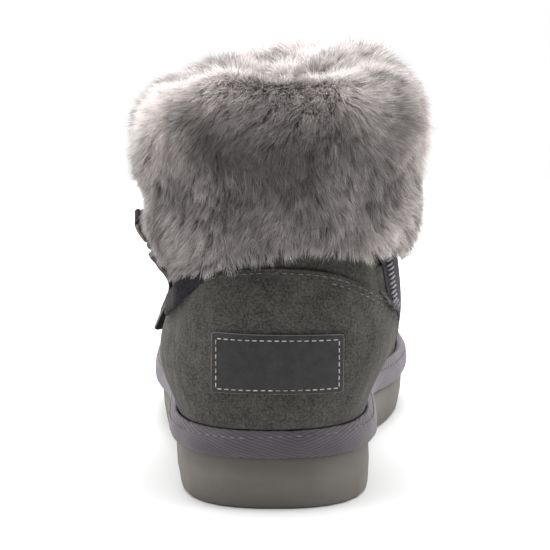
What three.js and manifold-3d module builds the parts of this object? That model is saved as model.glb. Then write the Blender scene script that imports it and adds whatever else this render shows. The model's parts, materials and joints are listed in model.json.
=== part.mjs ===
// Short sheepskin boot for the left foot, with a folded fur cuff, a side zip and a suede bow.
// Millimetres. While it is built, +Y runs from the back of the heel (0) to the toe, +X is the
// inner (medial) side and the floor is z = 0. At the end the group is moved so that the origin
// lies in the middle of the boot's footprint box, on the floor.

import * as THREE from "three";
import Module from "manifold-3d";
import { mergeVertices } from "three/addons/utils/BufferGeometryUtils.js";

const wasm = await Module();
wasm.setup();

// ---------------------------------------------------------------- driving dimensions

const SOLE_LENGTH = 270;
const CORE_Y = 45; // station where the heel curve ends and the foot begins
const HEEL_ROUND = 2.5; // exponent of the heel's end curve
const TOE_ROUND = 2.9; // exponent of the sole's toe curve

const GAP = 0.3; // between pieces that meet
const FORM_GAP = 0.55; // between curved pieces with different facets
const WALL = 7; // suede, skin and clipped wool
const COUNTER_THICK = 1.4;
const PATCH_THICK = 1.2;
const RAND_HEIGHT = 10;
const INSOLE_THICK = 6;

const RING_SIDE = 26; // facets along each side of the boot, heel to toe
const HEEL_DENSITY = 0.45; // how much closer the facets are at heel and toe than at the waist
const FINE = 60; // fine steps of each end curve before it is shared out

const LUG_DEPTH = 2.4;
const GROOVE_WIDTH = 3.4;
const GROOVE_PITCH = 13;
const GROOVE_STEPS = 6; // straight stretches in each wavy groove
const WAVE_HEIGHT = 2.4;
const HEEL_TREAD = { first: 14, grooves: 5 };
const FORE_TREAD = { first: 130, grooves: 9 };
const TREAD_BORDER = 7;
const BELOW_FLOOR = 20; // how far the groove cutters reach past the sole

const INSOLE_SHOULDER = 0.7; // share of the insole's thickness where its edge turns in
const INSOLE_EDGE_INSET = 2;

const ZIP_TOP_Z = 90.0; // just under the cuff's hem
const ZIP_FOOT_Z = 72; // height at which the zip meets the heel counter
const TAPE_RISE = 2.2; // tape above the counter's edge
const TEETH_RISE = 3.4;
const ZIP_WIDTH = 17;
const ZIP_THICK = 0.9;
const TEETH_WIDTH = 5.5;
const TEETH_THICK = 1.1;

const PATCH_LEFT = -24.0;
const PATCH_RIGHT = 24.6;
const PATCH_BOTTOM_Z = 45.4;
const PATCH_TOP_Z = 67.2;

const TIE_WIDTH = 6;
const TIE_THICK = 1.9;
const TIE_SIDES = 8; // facets round a strip
const TIE_STEPS = 22; // steps along a strip

// The outsole's side wall from its lower edge to its lip: share of the wall's height, a lift
// above that height, and how far it stands in from the sole's outline.
const SOLE_WALL = [
  { share: 0, lift: 0, inset: 2.6 },
  { share: 0, lift: 1.2, inset: 1.5 },
  { share: 0.5, lift: 0, inset: 0.4 },
  { share: 1, lift: -1.4, inset: 0 },
  { share: 1, lift: 0, inset: 0.7 },
];

// Half widths of the sole before its ends are rounded, at stations along the foot.
const SOLE_WIDTHS = [
  { y: 0, lateral: 35.6, medial: 35.4 },
  { y: 37, lateral: 35.6, medial: 35.4 },
  { y: 74, lateral: 38.2, medial: 36.2 },
  { y: 100, lateral: 40.6, medial: 36.6 },
  { y: 122, lateral: 44.0, medial: 39.6 },
  { y: 145, lateral: 47.8, medial: 48.4 },
  { y: 170, lateral: 51.0, medial: 56.2 },
  { y: 190, lateral: 53.0, medial: 60.6 },
  { y: 220, lateral: 54.2, medial: 64.0 },
  { y: 270, lateral: 53.4, medial: 64.4 },
];

// Height of the sole's top and of its underside at stations along the foot.
const SOLE_HEIGHTS = [
  { y: -5, top: 20.0, bottom: 0 },
  { y: 60, top: 20.0, bottom: 0 },
  { y: 72, top: 19.7, bottom: 0 },
  { y: 98, top: 18.6, bottom: 3.2 },
  { y: 124, top: 16.8, bottom: 0 },
  { y: 160, top: 15.2, bottom: 0 },
  { y: 198, top: 15.0, bottom: 0 },
  { y: 222, top: 16.0, bottom: 1.4 },
  { y: 246, top: 18.6, bottom: 4.6 },
  { y: 275, top: 23.4, bottom: 10.4 },
];

// Loops of the upper's outside, from the feather line up to the collar: height and place of
// the heel point and of the front point, half widths over the heel, fullness of the front.
const UPPER_SECTIONS = [
  { heelZ: 20.3, heelY: 1.2, frontZ: 22.4, frontY: 265.8, lateral: 34.4, medial: 33.4, nose: 2.9 },
  { heelZ: 27.0, heelY: -0.2, frontZ: 29.0, frontY: 267.4, lateral: 36.0, medial: 34.2, nose: 2.9 },
  { heelZ: 34.0, heelY: -1.5, frontZ: 36.5, frontY: 267.2, lateral: 38.2, medial: 35.4, nose: 2.9 },
  { heelZ: 42.0, heelY: -2.6, frontZ: 45.0, frontY: 264.2, lateral: 41.4, medial: 38.2, nose: 2.85 },
  { heelZ: 50.0, heelY: -3.2, frontZ: 53.0, frontY: 257.0, lateral: 42.8, medial: 41.4, nose: 2.7 },
  { heelZ: 57.0, heelY: -3.4, frontZ: 59.6, frontY: 243.0, lateral: 42.0, medial: 44.2, nose: 2.55 },
  { heelZ: 64.0, heelY: -3.3, frontZ: 65.0, frontY: 222.0, lateral: 40.4, medial: 46.2, nose: 2.4 },
  { heelZ: 71.0, heelY: -2.9, frontZ: 70.6, frontY: 198.0, lateral: 39.4, medial: 47.0, nose: 2.3 },
  { heelZ: 79.0, heelY: -2.3, frontZ: 77.6, frontY: 173.0, lateral: 39.0, medial: 46.8, nose: 2.2 },
  { heelZ: 88.0, heelY: -1.6, frontZ: 87.4, frontY: 149.0, lateral: 39.2, medial: 46.2, nose: 2.15 },
  { heelZ: 98.0, heelY: -0.8, frontZ: 100.6, frontY: 128.0, lateral: 39.6, medial: 45.4, nose: 2.1 },
  { heelZ: 112.0, heelY: -0.2, frontZ: 117.0, frontY: 113.0, lateral: 40.0, medial: 44.6, nose: 2.1 },
  { heelZ: 128.0, heelY: 0.2, frontZ: 134.0, frontY: 105.5, lateral: 40.6, medial: 43.8, nose: 2.1 },
  { heelZ: 144.0, heelY: 0.4, frontZ: 150.0, frontY: 103.0, lateral: 41.0, medial: 43.0, nose: 2.1 },
];
const COLLAR_LEVEL = UPPER_SECTIONS.length - 1;
const CUFF_LOWEST_LEVEL = 8; // the cuff hangs over the upper's form from here up
const OUTER_LEVELS = [0, 1, 2, 2.5, 3, 3.5, 4, 4.5, 5, 5.5, 6, 6.5, 7, 7.5, 8, 8.5, 9, 10, 11, 12, 13];
const INNER_LEVELS = [0, 1.5, 3, 4, 5, 6, 7, 8, 9, 10, 11.5, 13];

// Section of the rand above the sole's top: how far it stands out from the upper.
const RAND_SECTION = [
  { rise: 0.0, out: 2.6 },
  { rise: 1.6, out: 3.7 },
  { rise: 4.6, out: 3.9 },
  { rise: 7.6, out: 3.0 },
  { rise: 9.6, out: 1.9 },
  { rise: 10.0, out: 1.3 },
];

// Fur outside the shaft: share of the cuff's height, distance out from the shaft.
const CUFF_OUTSIDE = [
  { share: 0.0, out: 1.6 },
  { share: 0.02, out: 5.0 },
  { share: 0.13, out: 7.4 },
  { share: 0.32, out: 10.4 },
  { share: 0.55, out: 13.2 },
  { share: 0.78, out: 14.6 },
  { share: 0.92, out: 11.6 },
  { share: 0.985, out: 6.0 },
  { share: 1.0, out: 0.0 },
  { share: 0.985, out: -6.0 },
  { share: 0.93, out: -9.5 },
];

// The cuff's lower hem and upper rim round the shaft, by turn from the heel (0) over the
// medial side (0.25) to the front (0.5) and the lateral side (0.75).
const CUFF_EDGES = [
  { turn: -0.12, hem: 84, rim: 158, full: 0.95 },
  { turn: 0, hem: 97, rim: 156, full: 1.0 },
  { turn: 0.12, hem: 93, rim: 157, full: 1.0 },
  { turn: 0.25, hem: 88, rim: 159, full: 1.0 },
  { turn: 0.5, hem: 107, rim: 164, full: 1.0 },
  { turn: 0.72, hem: 84, rim: 161, full: 0.9 },
  { turn: 0.88, hem: 84, rim: 158, full: 0.95 },
  { turn: 1, hem: 97, rim: 156, full: 1.0 },
  { turn: 1.12, hem: 93, rim: 157, full: 1.0 },
];

// Top edge of the heel counter, by distance round the form from the middle of the heel.
const COUNTER_TOP = [
  { away: 0, z: 91.5 },
  { away: 20, z: 89.4 },
  { away: 34, z: 83.5 },
  { away: 50, z: 74.5 },
  { away: 62, z: 64.0 },
  { away: 74, z: 50.0 },
  { away: 82, z: 37.0 },
];
const COUNTER_REACH = 82;
const COUNTER_LIFT = 1.2; // lower edge above the rand
const COUNTER_COLUMNS = 26;
const COUNTER_ROWS = 6;

// Middle of the side zip: distance round the form at the zip's lower and upper end.
const ZIP_LINE = [
  { z: 60, away: 60.0 },
  { z: 71, away: 57.5 },
  { z: 89, away: 52.5 },
  { z: 100, away: 50.0 },
];

// Routes of the suede bow's strips, each from the knot outwards.
const TIE_KNOT = { x: -48.6, y: 86, z: 88, radii: [2.2, 4.2, 4.6] };
const TIE_ROUTES = {
  tie_loop_back: [
    [-50.2, 81.0, 90.0],
    [-51.4, 74.0, 93.0],
    [-52.6, 64.0, 97.4],
    [-52.9, 56.0, 100.6],
    [-52.6, 51.6, 102.2],
    [-51.4, 50.4, 102.5],
    [-50.3, 52.6, 101.8],
    [-49.9, 58.0, 99.8],
    [-49.2, 66.0, 96.6],
    [-47.9, 75.0, 92.4],
    [-47.0, 80.6, 89.6],
  ],
  tie_loop_front: [
    [-49.2, 91.0, 89.0],
    [-48.2, 97.0, 91.0],
    [-45.6, 105.0, 93.6],
    [-42.2, 112.0, 95.6],
    [-39.8, 116.0, 96.8],
    [-38.3, 116.8, 97.0],
    [-38.4, 114.6, 96.4],
    [-41.2, 109.4, 94.8],
    [-44.4, 102.4, 92.6],
    [-46.4, 95.6, 90.2],
    [-46.8, 91.0, 88.6],
  ],
  tie_tail_back: [
    [-48.6, 85.0, 82.9],
    [-47.0, 85.8, 79.2],
    [-43.6, 87.4, 75.4],
    [-41.2, 88.8, 71.4],
    [-40.9, 90.2, 67.0],
    [-42.2, 91.8, 61.6],
    [-44.0, 93.4, 56.4],
    [-46.2, 95.4, 50.2],
  ],
  tie_tail_front: [
    [-48.2, 92.4, 84.2],
    [-46.4, 95.2, 79.8],
    [-42.8, 98.4, 75.8],
    [-40.0, 100.8, 71.2],
    [-40.6, 103.6, 66.0],
    [-42.4, 106.0, 60.6],
    [-44.4, 108.2, 55.4],
    [-45.2, 109.2, 52.8],
  ],
};

// ---------------------------------------------------------------- plain maths

const lerp = THREE.MathUtils.lerp;
const clamp = THREE.MathUtils.clamp;

function ease(from, to, value) {
  return THREE.MathUtils.smoothstep(value, from, to);
}

// A smooth curve through one column of a table: a cubic between rows with level-headed slopes.
function tableCurve(rows, key, column) {
  const last = rows.length - 1;
  const position = (index) => (key === null ? index : rows[index][key]);
  const slope = (index) => {
    const before = Math.max(index - 1, 0);
    const after = Math.min(index + 1, last);
    return (rows[after][column] - rows[before][column]) / (position(after) - position(before));
  };
  return (value) => {
    const at = clamp(value, position(0), position(last));
    let row = 0;
    while (row < last - 1 && position(row + 1) < at) row += 1;
    const span = position(row + 1) - position(row);
    const t = (at - position(row)) / span;
    const flat = t * t * (3 - 2 * t);
    const leave = t * (1 - t) * (1 - t) * span * slope(row);
    const arrive = t * t * (t - 1) * span * slope(row + 1);
    return lerp(rows[row][column], rows[row + 1][column], flat) + leave + arrive;
  };
}

function straightCurve(rows, key, column) {
  return (value) => {
    const last = rows.length - 1;
    const at = clamp(value, rows[0][key], rows[last][key]);
    let row = 0;
    while (row < last - 1 && rows[row + 1][key] < at) row += 1;
    const t = (at - rows[row][key]) / (rows[row + 1][key] - rows[row][key]);
    return lerp(rows[row][column], rows[row + 1][column], t);
  };
}

const soleTop = tableCurve(SOLE_HEIGHTS, "y", "top");
const soleBottom = straightCurve(SOLE_HEIGHTS, "y", "bottom");
const soleLateral = tableCurve(SOLE_WIDTHS, "y", "lateral");
const soleMedial = tableCurve(SOLE_WIDTHS, "y", "medial");
const sectionCurves = Object.fromEntries(
  Object.keys(UPPER_SECTIONS[0]).map((column) => [column, tableCurve(UPPER_SECTIONS, null, column)]),
);
const cuffHem = tableCurve(CUFF_EDGES, "turn", "hem");
const cuffRim = tableCurve(CUFF_EDGES, "turn", "rim");
const cuffFull = tableCurve(CUFF_EDGES, "turn", "full");
const zipMiddle = tableCurve(ZIP_LINE, "z", "away");
const counterTop = tableCurve(COUNTER_TOP, "away", "z");

// ---------------------------------------------------------------- loops round the foot

// One side of a loop, finely stepped from the heel point to the toe point. The ends are
// superellipses; widths(y) gives both half widths and heightAt(y) the height.
function sideOfLoop({ heelY, toeY, toeRound, widths, heightAt }, side) {
  const points = [];
  const place = (y, share, exponent) => {
    const { lateral, medial } = widths(y);
    const round = Math.pow(1 - Math.pow(share, exponent), 1 / exponent);
    const x = (medial - lateral) / 2 + (side * (medial + lateral) / 2) * round;
    points.push(new THREE.Vector3(x, y, heightAt(y)));
  };
  for (let i = 0; i <= FINE; i += 1) {
    const share = 1 - Math.pow(i / FINE, 3);
    place(CORE_Y - (CORE_Y - heelY) * share, share, HEEL_ROUND);
  }
  for (let i = 1; i <= FINE; i += 1) {
    const share = 1 - Math.pow(1 - i / FINE, 3);
    place(CORE_Y + (toeY - CORE_Y) * share, share, toeRound);
  }
  return points;
}

// Shares a fine line out again in equal or graded steps along its length.
function shareOut(points, fractions) {
  const run = [0];
  for (let i = 1; i < points.length; i += 1) {
    run.push(run[i - 1] + points[i].distanceTo(points[i - 1]));
  }
  const total = run[run.length - 1];
  let index = 0;
  return fractions.map((fraction) => {
    const target = fraction * total;
    while (index < run.length - 2 && run[index + 1] < target) index += 1;
    const step = run[index + 1] - run[index];
    const t = clamp(step > 0 ? (target - run[index]) / step : 0, 0, 1);
    return points[index].clone().lerp(points[index + 1], t);
  });
}

const RING_FRACTIONS = Array.from({ length: RING_SIDE + 1 }, (_, k) => {
  const t = k / RING_SIDE;
  return t - (HEEL_DENSITY * Math.sin(2 * Math.PI * t)) / (2 * Math.PI);
});

// A closed loop: heel, medial side, toe, lateral side.
function closedLoop(shape) {
  const medial = shareOut(sideOfLoop(shape, 1), RING_FRACTIONS);
  const lateral = shareOut(sideOfLoop(shape, -1), RING_FRACTIONS);
  return [...medial, ...lateral.slice(1, -1).reverse()];
}

function soleWidths(y) {
  return { lateral: soleLateral(y), medial: soleMedial(y) };
}

function soleLoop(heightAt) {
  return closedLoop({ heelY: 0, toeY: SOLE_LENGTH, toeRound: TOE_ROUND, widths: soleWidths, heightAt });
}

// The upper's outer form at a level: the foot's widths forward, the shaft's widths behind.
function upperShape(level) {
  const at = Object.fromEntries(
    Object.entries(sectionCurves).map(([column, curve]) => [column, curve(level)]),
  );
  const widths = (y) => {
    const forward = ease(52, 165, y);
    return {
      lateral: lerp(at.lateral, soleLateral(y) - 1.6, forward),
      medial: lerp(at.medial, soleMedial(y) - 2.6, forward),
    };
  };
  const follow = 1 - ease(0, 5, level);
  const heightAt = (y) => {
    const share = clamp((y - at.heelY) / (at.frontY - at.heelY), 0, 1);
    const sag = soleTop(y) - lerp(soleTop(at.heelY), soleTop(at.frontY), share);
    return lerp(at.heelZ, at.frontZ, share) + sag * follow;
  };
  return { heelY: at.heelY, toeY: at.frontY, toeRound: at.nose, widths, heightAt };
}

const loopCache = new Map();

function upperLoop(level) {
  if (!loopCache.has(level)) loopCache.set(level, closedLoop(upperShape(level)));
  return loopCache.get(level);
}

const ring = (loop, index) => loop[(index + loop.length) % loop.length];

// Outward normals of the upper's form at a level.
function upperNormals(level) {
  const here = upperLoop(level);
  const below = upperLoop(Math.max(level - 0.25, 0));
  const above = upperLoop(Math.min(level + 0.25, COLLAR_LEVEL));
  return here.map((_, k) => {
    const round = ring(here, k + 1).clone().sub(ring(here, k - 1));
    const up = above[k].clone().sub(below[k]);
    const normal = round.cross(up);
    if (level === 0 || level === COLLAR_LEVEL) normal.z = 0;
    return normal.normalize();
  });
}

function upperOffset(level, distance) {
  const normals = upperNormals(level);
  return upperLoop(level).map((point, k) => point.clone().addScaledVector(normals[k], distance));
}

const collarNormals = upperNormals(COLLAR_LEVEL);

// A loop moved out level in its own plane.
function levelOffset(loop, distance) {
  return loop.map((point, k) => {
    const along = ring(loop, k + 1).clone().sub(ring(loop, k - 1));
    const out = new THREE.Vector3(along.y, -along.x, 0).normalize();
    return point.clone().addScaledVector(out, distance);
  });
}

// ---------------------------------------------------------------- closed meshes

class MeshBuilder {
  constructor() {
    this.positions = [];
    this.faces = [];
  }

  addRow(points) {
    const start = this.positions.length;
    points.forEach((point) => this.positions.push(point));
    return Array.from(points, (_, k) => start + k);
  }

  addQuad(a, b, c, d) {
    this.faces.push([a, b, c], [a, c, d]);
  }

  // Skin between two closed rows; faces look out when the rows climb and run anticlockwise.
  addBand(lower, upper) {
    const count = lower.length;
    for (let k = 0; k < count; k += 1) {
      const next = (k + 1) % count;
      this.addQuad(lower[k], lower[next], upper[next], upper[k]);
    }
  }

  // A ladder across a closed row, from its first point to the one opposite.
  addLadder(row, facingUp) {
    const count = row.length;
    for (let k = 0; k < count / 2; k += 1) {
      const opposite = (count - k) % count;
      const corners = [row[k], row[k + 1], row[count - k - 1], row[opposite]];
      const unique = corners.filter((corner, index) => corners.indexOf(corner) === index);
      const wound = facingUp ? unique : unique.reverse();
      this.faces.push([wound[0], wound[1], wound[2]]);
      if (wound.length === 4) this.faces.push([wound[0], wound[2], wound[3]]);
    }
  }

  geometry() {
    const flat = this.positions.flatMap((point) => [point.x, point.y, point.z]);
    const geometry = new THREE.BufferGeometry();
    geometry.setAttribute("position", new THREE.Float32BufferAttribute(flat, 3));
    geometry.setIndex(this.faces.flat());
    return geometry;
  }
}

// A solid of closed rows joined in order, the last one back to the first.
function ringSolid(rows) {
  const builder = new MeshBuilder();
  const indices = rows.map((row) => builder.addRow(row));
  indices.forEach((row, k) => builder.addBand(row, indices[(k + 1) % indices.length]));
  return builder.geometry();
}

// A solid of closed rows from bottom to top, closed by ladders.
function stackSolid(rows) {
  const builder = new MeshBuilder();
  const indices = rows.map((row) => builder.addRow(row));
  for (let k = 1; k < indices.length; k += 1) builder.addBand(indices[k - 1], indices[k]);
  builder.addLadder(indices[0], false);
  builder.addLadder(indices[indices.length - 1], true);
  return builder.geometry();
}

// A shell between two grids of points with the same rows and columns.
function shellSolid(inside, outside) {
  const builder = new MeshBuilder();
  const inner = inside.map((row) => builder.addRow(row));
  const outer = outside.map((row) => builder.addRow(row));
  const lastRow = inner.length - 1;
  const lastColumn = inner[0].length - 1;
  for (let r = 0; r < lastRow; r += 1) {
    for (let c = 0; c < lastColumn; c += 1) {
      builder.addQuad(outer[r][c], outer[r][c + 1], outer[r + 1][c + 1], outer[r + 1][c]);
      builder.addQuad(inner[r][c + 1], inner[r][c], inner[r + 1][c], inner[r + 1][c + 1]);
    }
    builder.addQuad(inner[r][0], outer[r][0], outer[r + 1][0], inner[r + 1][0]);
    const c = lastColumn;
    builder.addQuad(outer[r][c], inner[r][c], inner[r + 1][c], outer[r + 1][c]);
  }
  for (let c = 0; c < lastColumn; c += 1) {
    builder.addQuad(inner[0][c], inner[0][c + 1], outer[0][c + 1], outer[0][c]);
    builder.addQuad(outer[lastRow][c], outer[lastRow][c + 1], inner[lastRow][c + 1], inner[lastRow][c]);
  }
  return builder.geometry();
}

function toManifold(geometry) {
  const bare = geometry.index ? geometry.clone() : mergeVertices(geometry.clone());
  return new wasm.Manifold(
    new wasm.Mesh({
      numProp: 3,
      vertProperties: new Float32Array(bare.attributes.position.array),
      triVerts: new Uint32Array(bare.index.array),
    }),
  );
}

function fromManifold(solid) {
  const mesh = solid.getMesh();
  const geometry = new THREE.BufferGeometry();
  geometry.setAttribute("position", new THREE.Float32BufferAttribute(mesh.vertProperties, 3));
  geometry.setIndex(Array.from(mesh.triVerts));
  return geometry;
}

// ---------------------------------------------------------------- places on the upper's form

const runCache = new Map();

// The fine loop at a level as one line from the lateral toe round the heel to the medial toe,
// with the distance of each point from the middle of the heel.
function heelRun(level) {
  if (!runCache.has(level)) {
    const shape = upperShape(level);
    const points = [...sideOfLoop(shape, -1).reverse(), ...sideOfLoop(shape, 1).slice(1)];
    const away = [0];
    for (let k = 1; k < points.length; k += 1) {
      away.push(away[k - 1] + points[k].distanceTo(points[k - 1]));
    }
    const crosses = (k) => points[k].x >= 0 && points[k - 1].x < 0 && points[k].y < CORE_Y;
    const middle = points.findIndex((_, k) => k > 0 && crosses(k));
    const before = points[middle - 1];
    const share = -before.x / (points[middle].x - before.x);
    const origin = lerp(away[middle - 1], away[middle], share);
    runCache.set(level, { points, away: away.map((value) => value - origin) });
  }
  return runCache.get(level);
}

function runPoint(level, distance) {
  const { points, away } = heelRun(level);
  let k = 1;
  while (k < points.length - 1 && away[k] < distance) k += 1;
  return points[k - 1].clone().lerp(points[k], (distance - away[k - 1]) / (away[k] - away[k - 1]));
}

// A point of the outer form: distance round from the middle of the heel (medial positive)
// and height, moved out by a distance.
function formPoint(away, z, out) {
  const climb = Array.from({ length: COLLAR_LEVEL * 2 + 1 }, (_, k) => runPoint(k / 2, away));
  let k = 1;
  while (k < climb.length - 1 && climb[k].z < z) k += 1;
  const low = climb[k - 1];
  const high = climb[k];
  const place = low.clone().lerp(high, (z - low.z) / (high.z - low.z));
  if (out === 0) return place;
  const step = 1.5;
  const round = formPoint(away + step, z, 0).sub(formPoint(away - step, z, 0));
  const up = formPoint(away, z + step, 0).sub(formPoint(away, z - step, 0));
  return place.addScaledVector(round.cross(up).normalize(), out);
}

// A shell lying on the form: columns given by distance round, rows by height.
function formShell({ columns, rows, placeAt, gap, thick }) {
  const grid = (out) =>
    Array.from({ length: rows + 1 }, (_, r) =>
      Array.from({ length: columns + 1 }, (_, c) => {
        const { away, z } = placeAt(c / columns, r / rows);
        return formPoint(away, z, out);
      }),
    );
  return shellSolid(grid(gap), grid(gap + thick));
}

// ---------------------------------------------------------------- outsole

// A wavy bar right across the sole, to be cut out of its underside.
function waveGroove(y) {
  const reach = SOLE_LENGTH / 4;
  const half = GROOVE_WIDTH / 2;
  const edge = (shift) =>
    Array.from({ length: GROOVE_STEPS + 1 }, (_, k) => {
      const share = k / GROOVE_STEPS;
      const wave = WAVE_HEIGHT * Math.cos(2 * Math.PI * share);
      return new THREE.Vector2(lerp(-reach, reach, share), y + shift + wave);
    });
  const outline = new THREE.Shape([...edge(-half), ...edge(half).reverse()]);
  const depth = 2 * BELOW_FLOOR;
  const groove = new THREE.ExtrudeGeometry(outline, { depth, bevelEnabled: false });
  groove.deleteAttribute("normal");
  groove.deleteAttribute("uv");
  groove.translate(0, 0, -BELOW_FLOOR);
  return toManifold(mergeVertices(groove));
}

function grooveStations({ first, grooves }) {
  return Array.from({ length: grooves }, (_, k) => first + k * GROOVE_PITCH);
}

function outsole() {
  const wallRows = SOLE_WALL.map(({ share, lift, inset }) => {
    const heightAt = (y) => lerp(soleBottom(y), soleTop(y), share) + lift;
    return levelOffset(soleLoop(heightAt), -inset);
  });
  const body = toManifold(stackSolid(wallRows));
  const treadRows = [
    levelOffset(soleLoop(() => -BELOW_FLOOR / 2), -TREAD_BORDER),
    levelOffset(soleLoop((y) => soleBottom(y) + LUG_DEPTH), -TREAD_BORDER),
  ];
  const tread = toManifold(stackSolid(treadRows));
  const stations = [...grooveStations(HEEL_TREAD), ...grooveStations(FORE_TREAD)];
  const grooves = stations.map((y) => waveGroove(y));
  const cut = grooves.reduce((all, groove) => all.add(groove)).intersect(tread);
  return fromManifold(body.subtract(cut));
}

// ---------------------------------------------------------------- upper, rand, insole

// A loop laid on the sole's top, or at a rise above it.
function seated(loop, rise = 0) {
  return loop.map(({ x, y }) => new THREE.Vector3(x, y, soleTop(y) + GAP + rise));
}

function upper() {
  const outer = OUTER_LEVELS.map((level) => upperLoop(level));
  const inner = INNER_LEVELS.map((level) => upperOffset(level, -WALL));
  outer[0] = seated(outer[0]);
  inner[0] = seated(inner[0]);
  return ringSolid([...outer, ...inner.reverse()]);
}

// Level of the outer form at a rise above the feather line, for the rand's inner face.
function loopAtRise(rise, out) {
  const level = rise / (UPPER_SECTIONS[1].heelZ - UPPER_SECTIONS[0].heelZ);
  return upperOffset(Math.max(level, 0.001), out);
}

function rand() {
  const inside = [0, RAND_HEIGHT / 2, RAND_HEIGHT].map((rise) => loopAtRise(rise, FORM_GAP));
  const outside = RAND_SECTION.map(({ rise, out }) => loopAtRise(rise, out + FORM_GAP));
  inside[0] = seated(inside[0]);
  outside[0] = seated(outside[0]);
  return ringSolid([...outside, ...inside.reverse()]);
}

function insole() {
  const edge = upperOffset(0, -WALL - GAP);
  const bottom = seated(edge);
  const shoulder = seated(edge, INSOLE_THICK * INSOLE_SHOULDER);
  const top = seated(levelOffset(bottom, -INSOLE_EDGE_INSET), INSOLE_THICK);
  return stackSolid([bottom, shoulder, top]);
}

// ---------------------------------------------------------------- overlays

function heelCounter() {
  const bottom = UPPER_SECTIONS[0].heelZ + RAND_HEIGHT + COUNTER_LIFT;
  const placeAt = (c, r) => {
    const away = lerp(-COUNTER_REACH, COUNTER_REACH, c);
    return { away, z: lerp(bottom, counterTop(Math.abs(away)), r) };
  };
  const grid = { columns: COUNTER_COLUMNS, rows: COUNTER_ROWS, placeAt };
  return formShell({ ...grid, gap: FORM_GAP, thick: COUNTER_THICK });
}

function heelPatch() {
  const placeAt = (c, r) => ({
    away: lerp(PATCH_LEFT, PATCH_RIGHT, c),
    z: lerp(PATCH_BOTTOM_Z, PATCH_TOP_Z, r),
  });
  const gap = FORM_GAP + COUNTER_THICK + FORM_GAP;
  return formShell({ columns: 8, rows: 3, placeAt, gap, thick: PATCH_THICK });
}

// ---------------------------------------------------------------- cuff

// The shaft's outside above the point k of a loop: a point at a height, moved out level.
function shaftPoint(k, z, out) {
  let level = COLLAR_LEVEL;
  while (level > CUFF_LOWEST_LEVEL && upperLoop(level)[k].z > z) level -= 0.5;
  const low = upperLoop(level)[k];
  const high = upperLoop(Math.min(level + 0.5, COLLAR_LEVEL))[k];
  const t = high.z > low.z ? clamp((z - low.z) / (high.z - low.z), 0, 1) : 0;
  const place = low.clone().lerp(high, t);
  place.addScaledVector(collarNormals[k], out);
  place.z = z;
  return place;
}

function cuff() {
  const collar = upperLoop(COLLAR_LEVEL);
  const skin = 2 * FORM_GAP;
  const innerLip = CUFF_OUTSIDE[CUFF_OUTSIDE.length - 1].out;
  const profiles = collar.map((top, k) => {
    const turn = k / collar.length;
    const hem = cuffHem(turn);
    const rim = cuffRim(turn);
    const outside = CUFF_OUTSIDE.map(({ share, out }) => {
      const grown = out > 0 ? out * cuffFull(turn) : out;
      return shaftPoint(k, lerp(hem, rim, share), grown + skin);
    });
    const underside = [
      shaftPoint(k, top.z + FORM_GAP, innerLip),
      shaftPoint(k, top.z + FORM_GAP, skin),
      shaftPoint(k, lerp(hem, top.z, 2 / 3), skin),
      shaftPoint(k, lerp(hem, top.z, 1 / 3), skin),
    ];
    return [...outside, ...underside];
  });
  const rows = profiles[0].map((_, r) => profiles.map((column) => column[r]));
  return ringSolid(rows);
}

// ---------------------------------------------------------------- side zip

function zipStrip(width, gap, thick, rise) {
  const placeAt = (c, r) => {
    const aside = lerp(-width / 2, width / 2, c);
    const foot = counterTop(zipMiddle(ZIP_FOOT_Z) + aside) + rise;
    const z = lerp(foot, ZIP_TOP_Z, r);
    return { away: zipMiddle(z) + aside, z };
  };
  return formShell({ columns: 4, rows: 4, placeAt, gap, thick });
}

// ---------------------------------------------------------------- suede bow

// A flat strip along a route; its broad side stays upright to the route and the boot's side.
function strip(route) {
  const points = route.map((point) => new THREE.Vector3(...point));
  const curve = new THREE.CatmullRomCurve3(points, false, "centripetal");
  const corner = 0.5 / Math.cos(Math.PI / TIE_SIDES);
  const section = Array.from({ length: TIE_SIDES }, (_, k) => {
    const angle = ((k + 0.5) / TIE_SIDES) * 2 * Math.PI;
    return { broad: Math.cos(angle) * corner * TIE_WIDTH, thin: Math.sin(angle) * corner * TIE_THICK };
  });
  const rows = Array.from({ length: TIE_STEPS + 1 }, (_, k) => {
    const at = curve.getPointAt(k / TIE_STEPS);
    const along = curve.getTangentAt(k / TIE_STEPS);
    const broadSide = stripBroadSide(along);
    const thinSide = along.clone().cross(broadSide).normalize();
    return section.map(({ broad, thin }) =>
      at.clone().addScaledVector(broadSide, broad).addScaledVector(thinSide, thin),
    );
  });
  return stackSolid(rows);
}

function stripBroadSide(along) {
  const side = new THREE.Vector3(1, 0, 0);
  return new THREE.Vector3().crossVectors(side, along).normalize();
}

function tieKnot() {
  const knot = new THREE.SphereGeometry(1, 12, 8);
  knot.scale(...TIE_KNOT.radii);
  knot.translate(TIE_KNOT.x, TIE_KNOT.y, TIE_KNOT.z);
  return knot;
}

// ---------------------------------------------------------------- model

const boot = new THREE.Group();

function addPiece(name, geometry, finish) {
  const mesh = new THREE.Mesh(geometry, new THREE.MeshStandardMaterial(finish));
  mesh.name = name;
  boot.add(mesh);
}

const suede = { color: 0x474642, roughness: 0.95, metalness: 0 };
const tieSuede = { color: 0x403d42, roughness: 0.85, metalness: 0 };

addPiece("outsole", outsole(), { color: 0x6c6862, roughness: 0.75, metalness: 0 });
addPiece("insole", insole(), { color: 0x8d8785, roughness: 1, metalness: 0 });
addPiece("upper", upper(), suede);
addPiece("rand", rand(), { color: 0x5b5459, roughness: 0.6, metalness: 0 });
addPiece("heel_counter", heelCounter(), suede);
addPiece("heel_patch", heelPatch(), { color: 0x3a3a3b, roughness: 0.55, metalness: 0 });
addPiece("cuff", cuff(), { color: 0x8a8486, roughness: 1, metalness: 0 });

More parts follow.
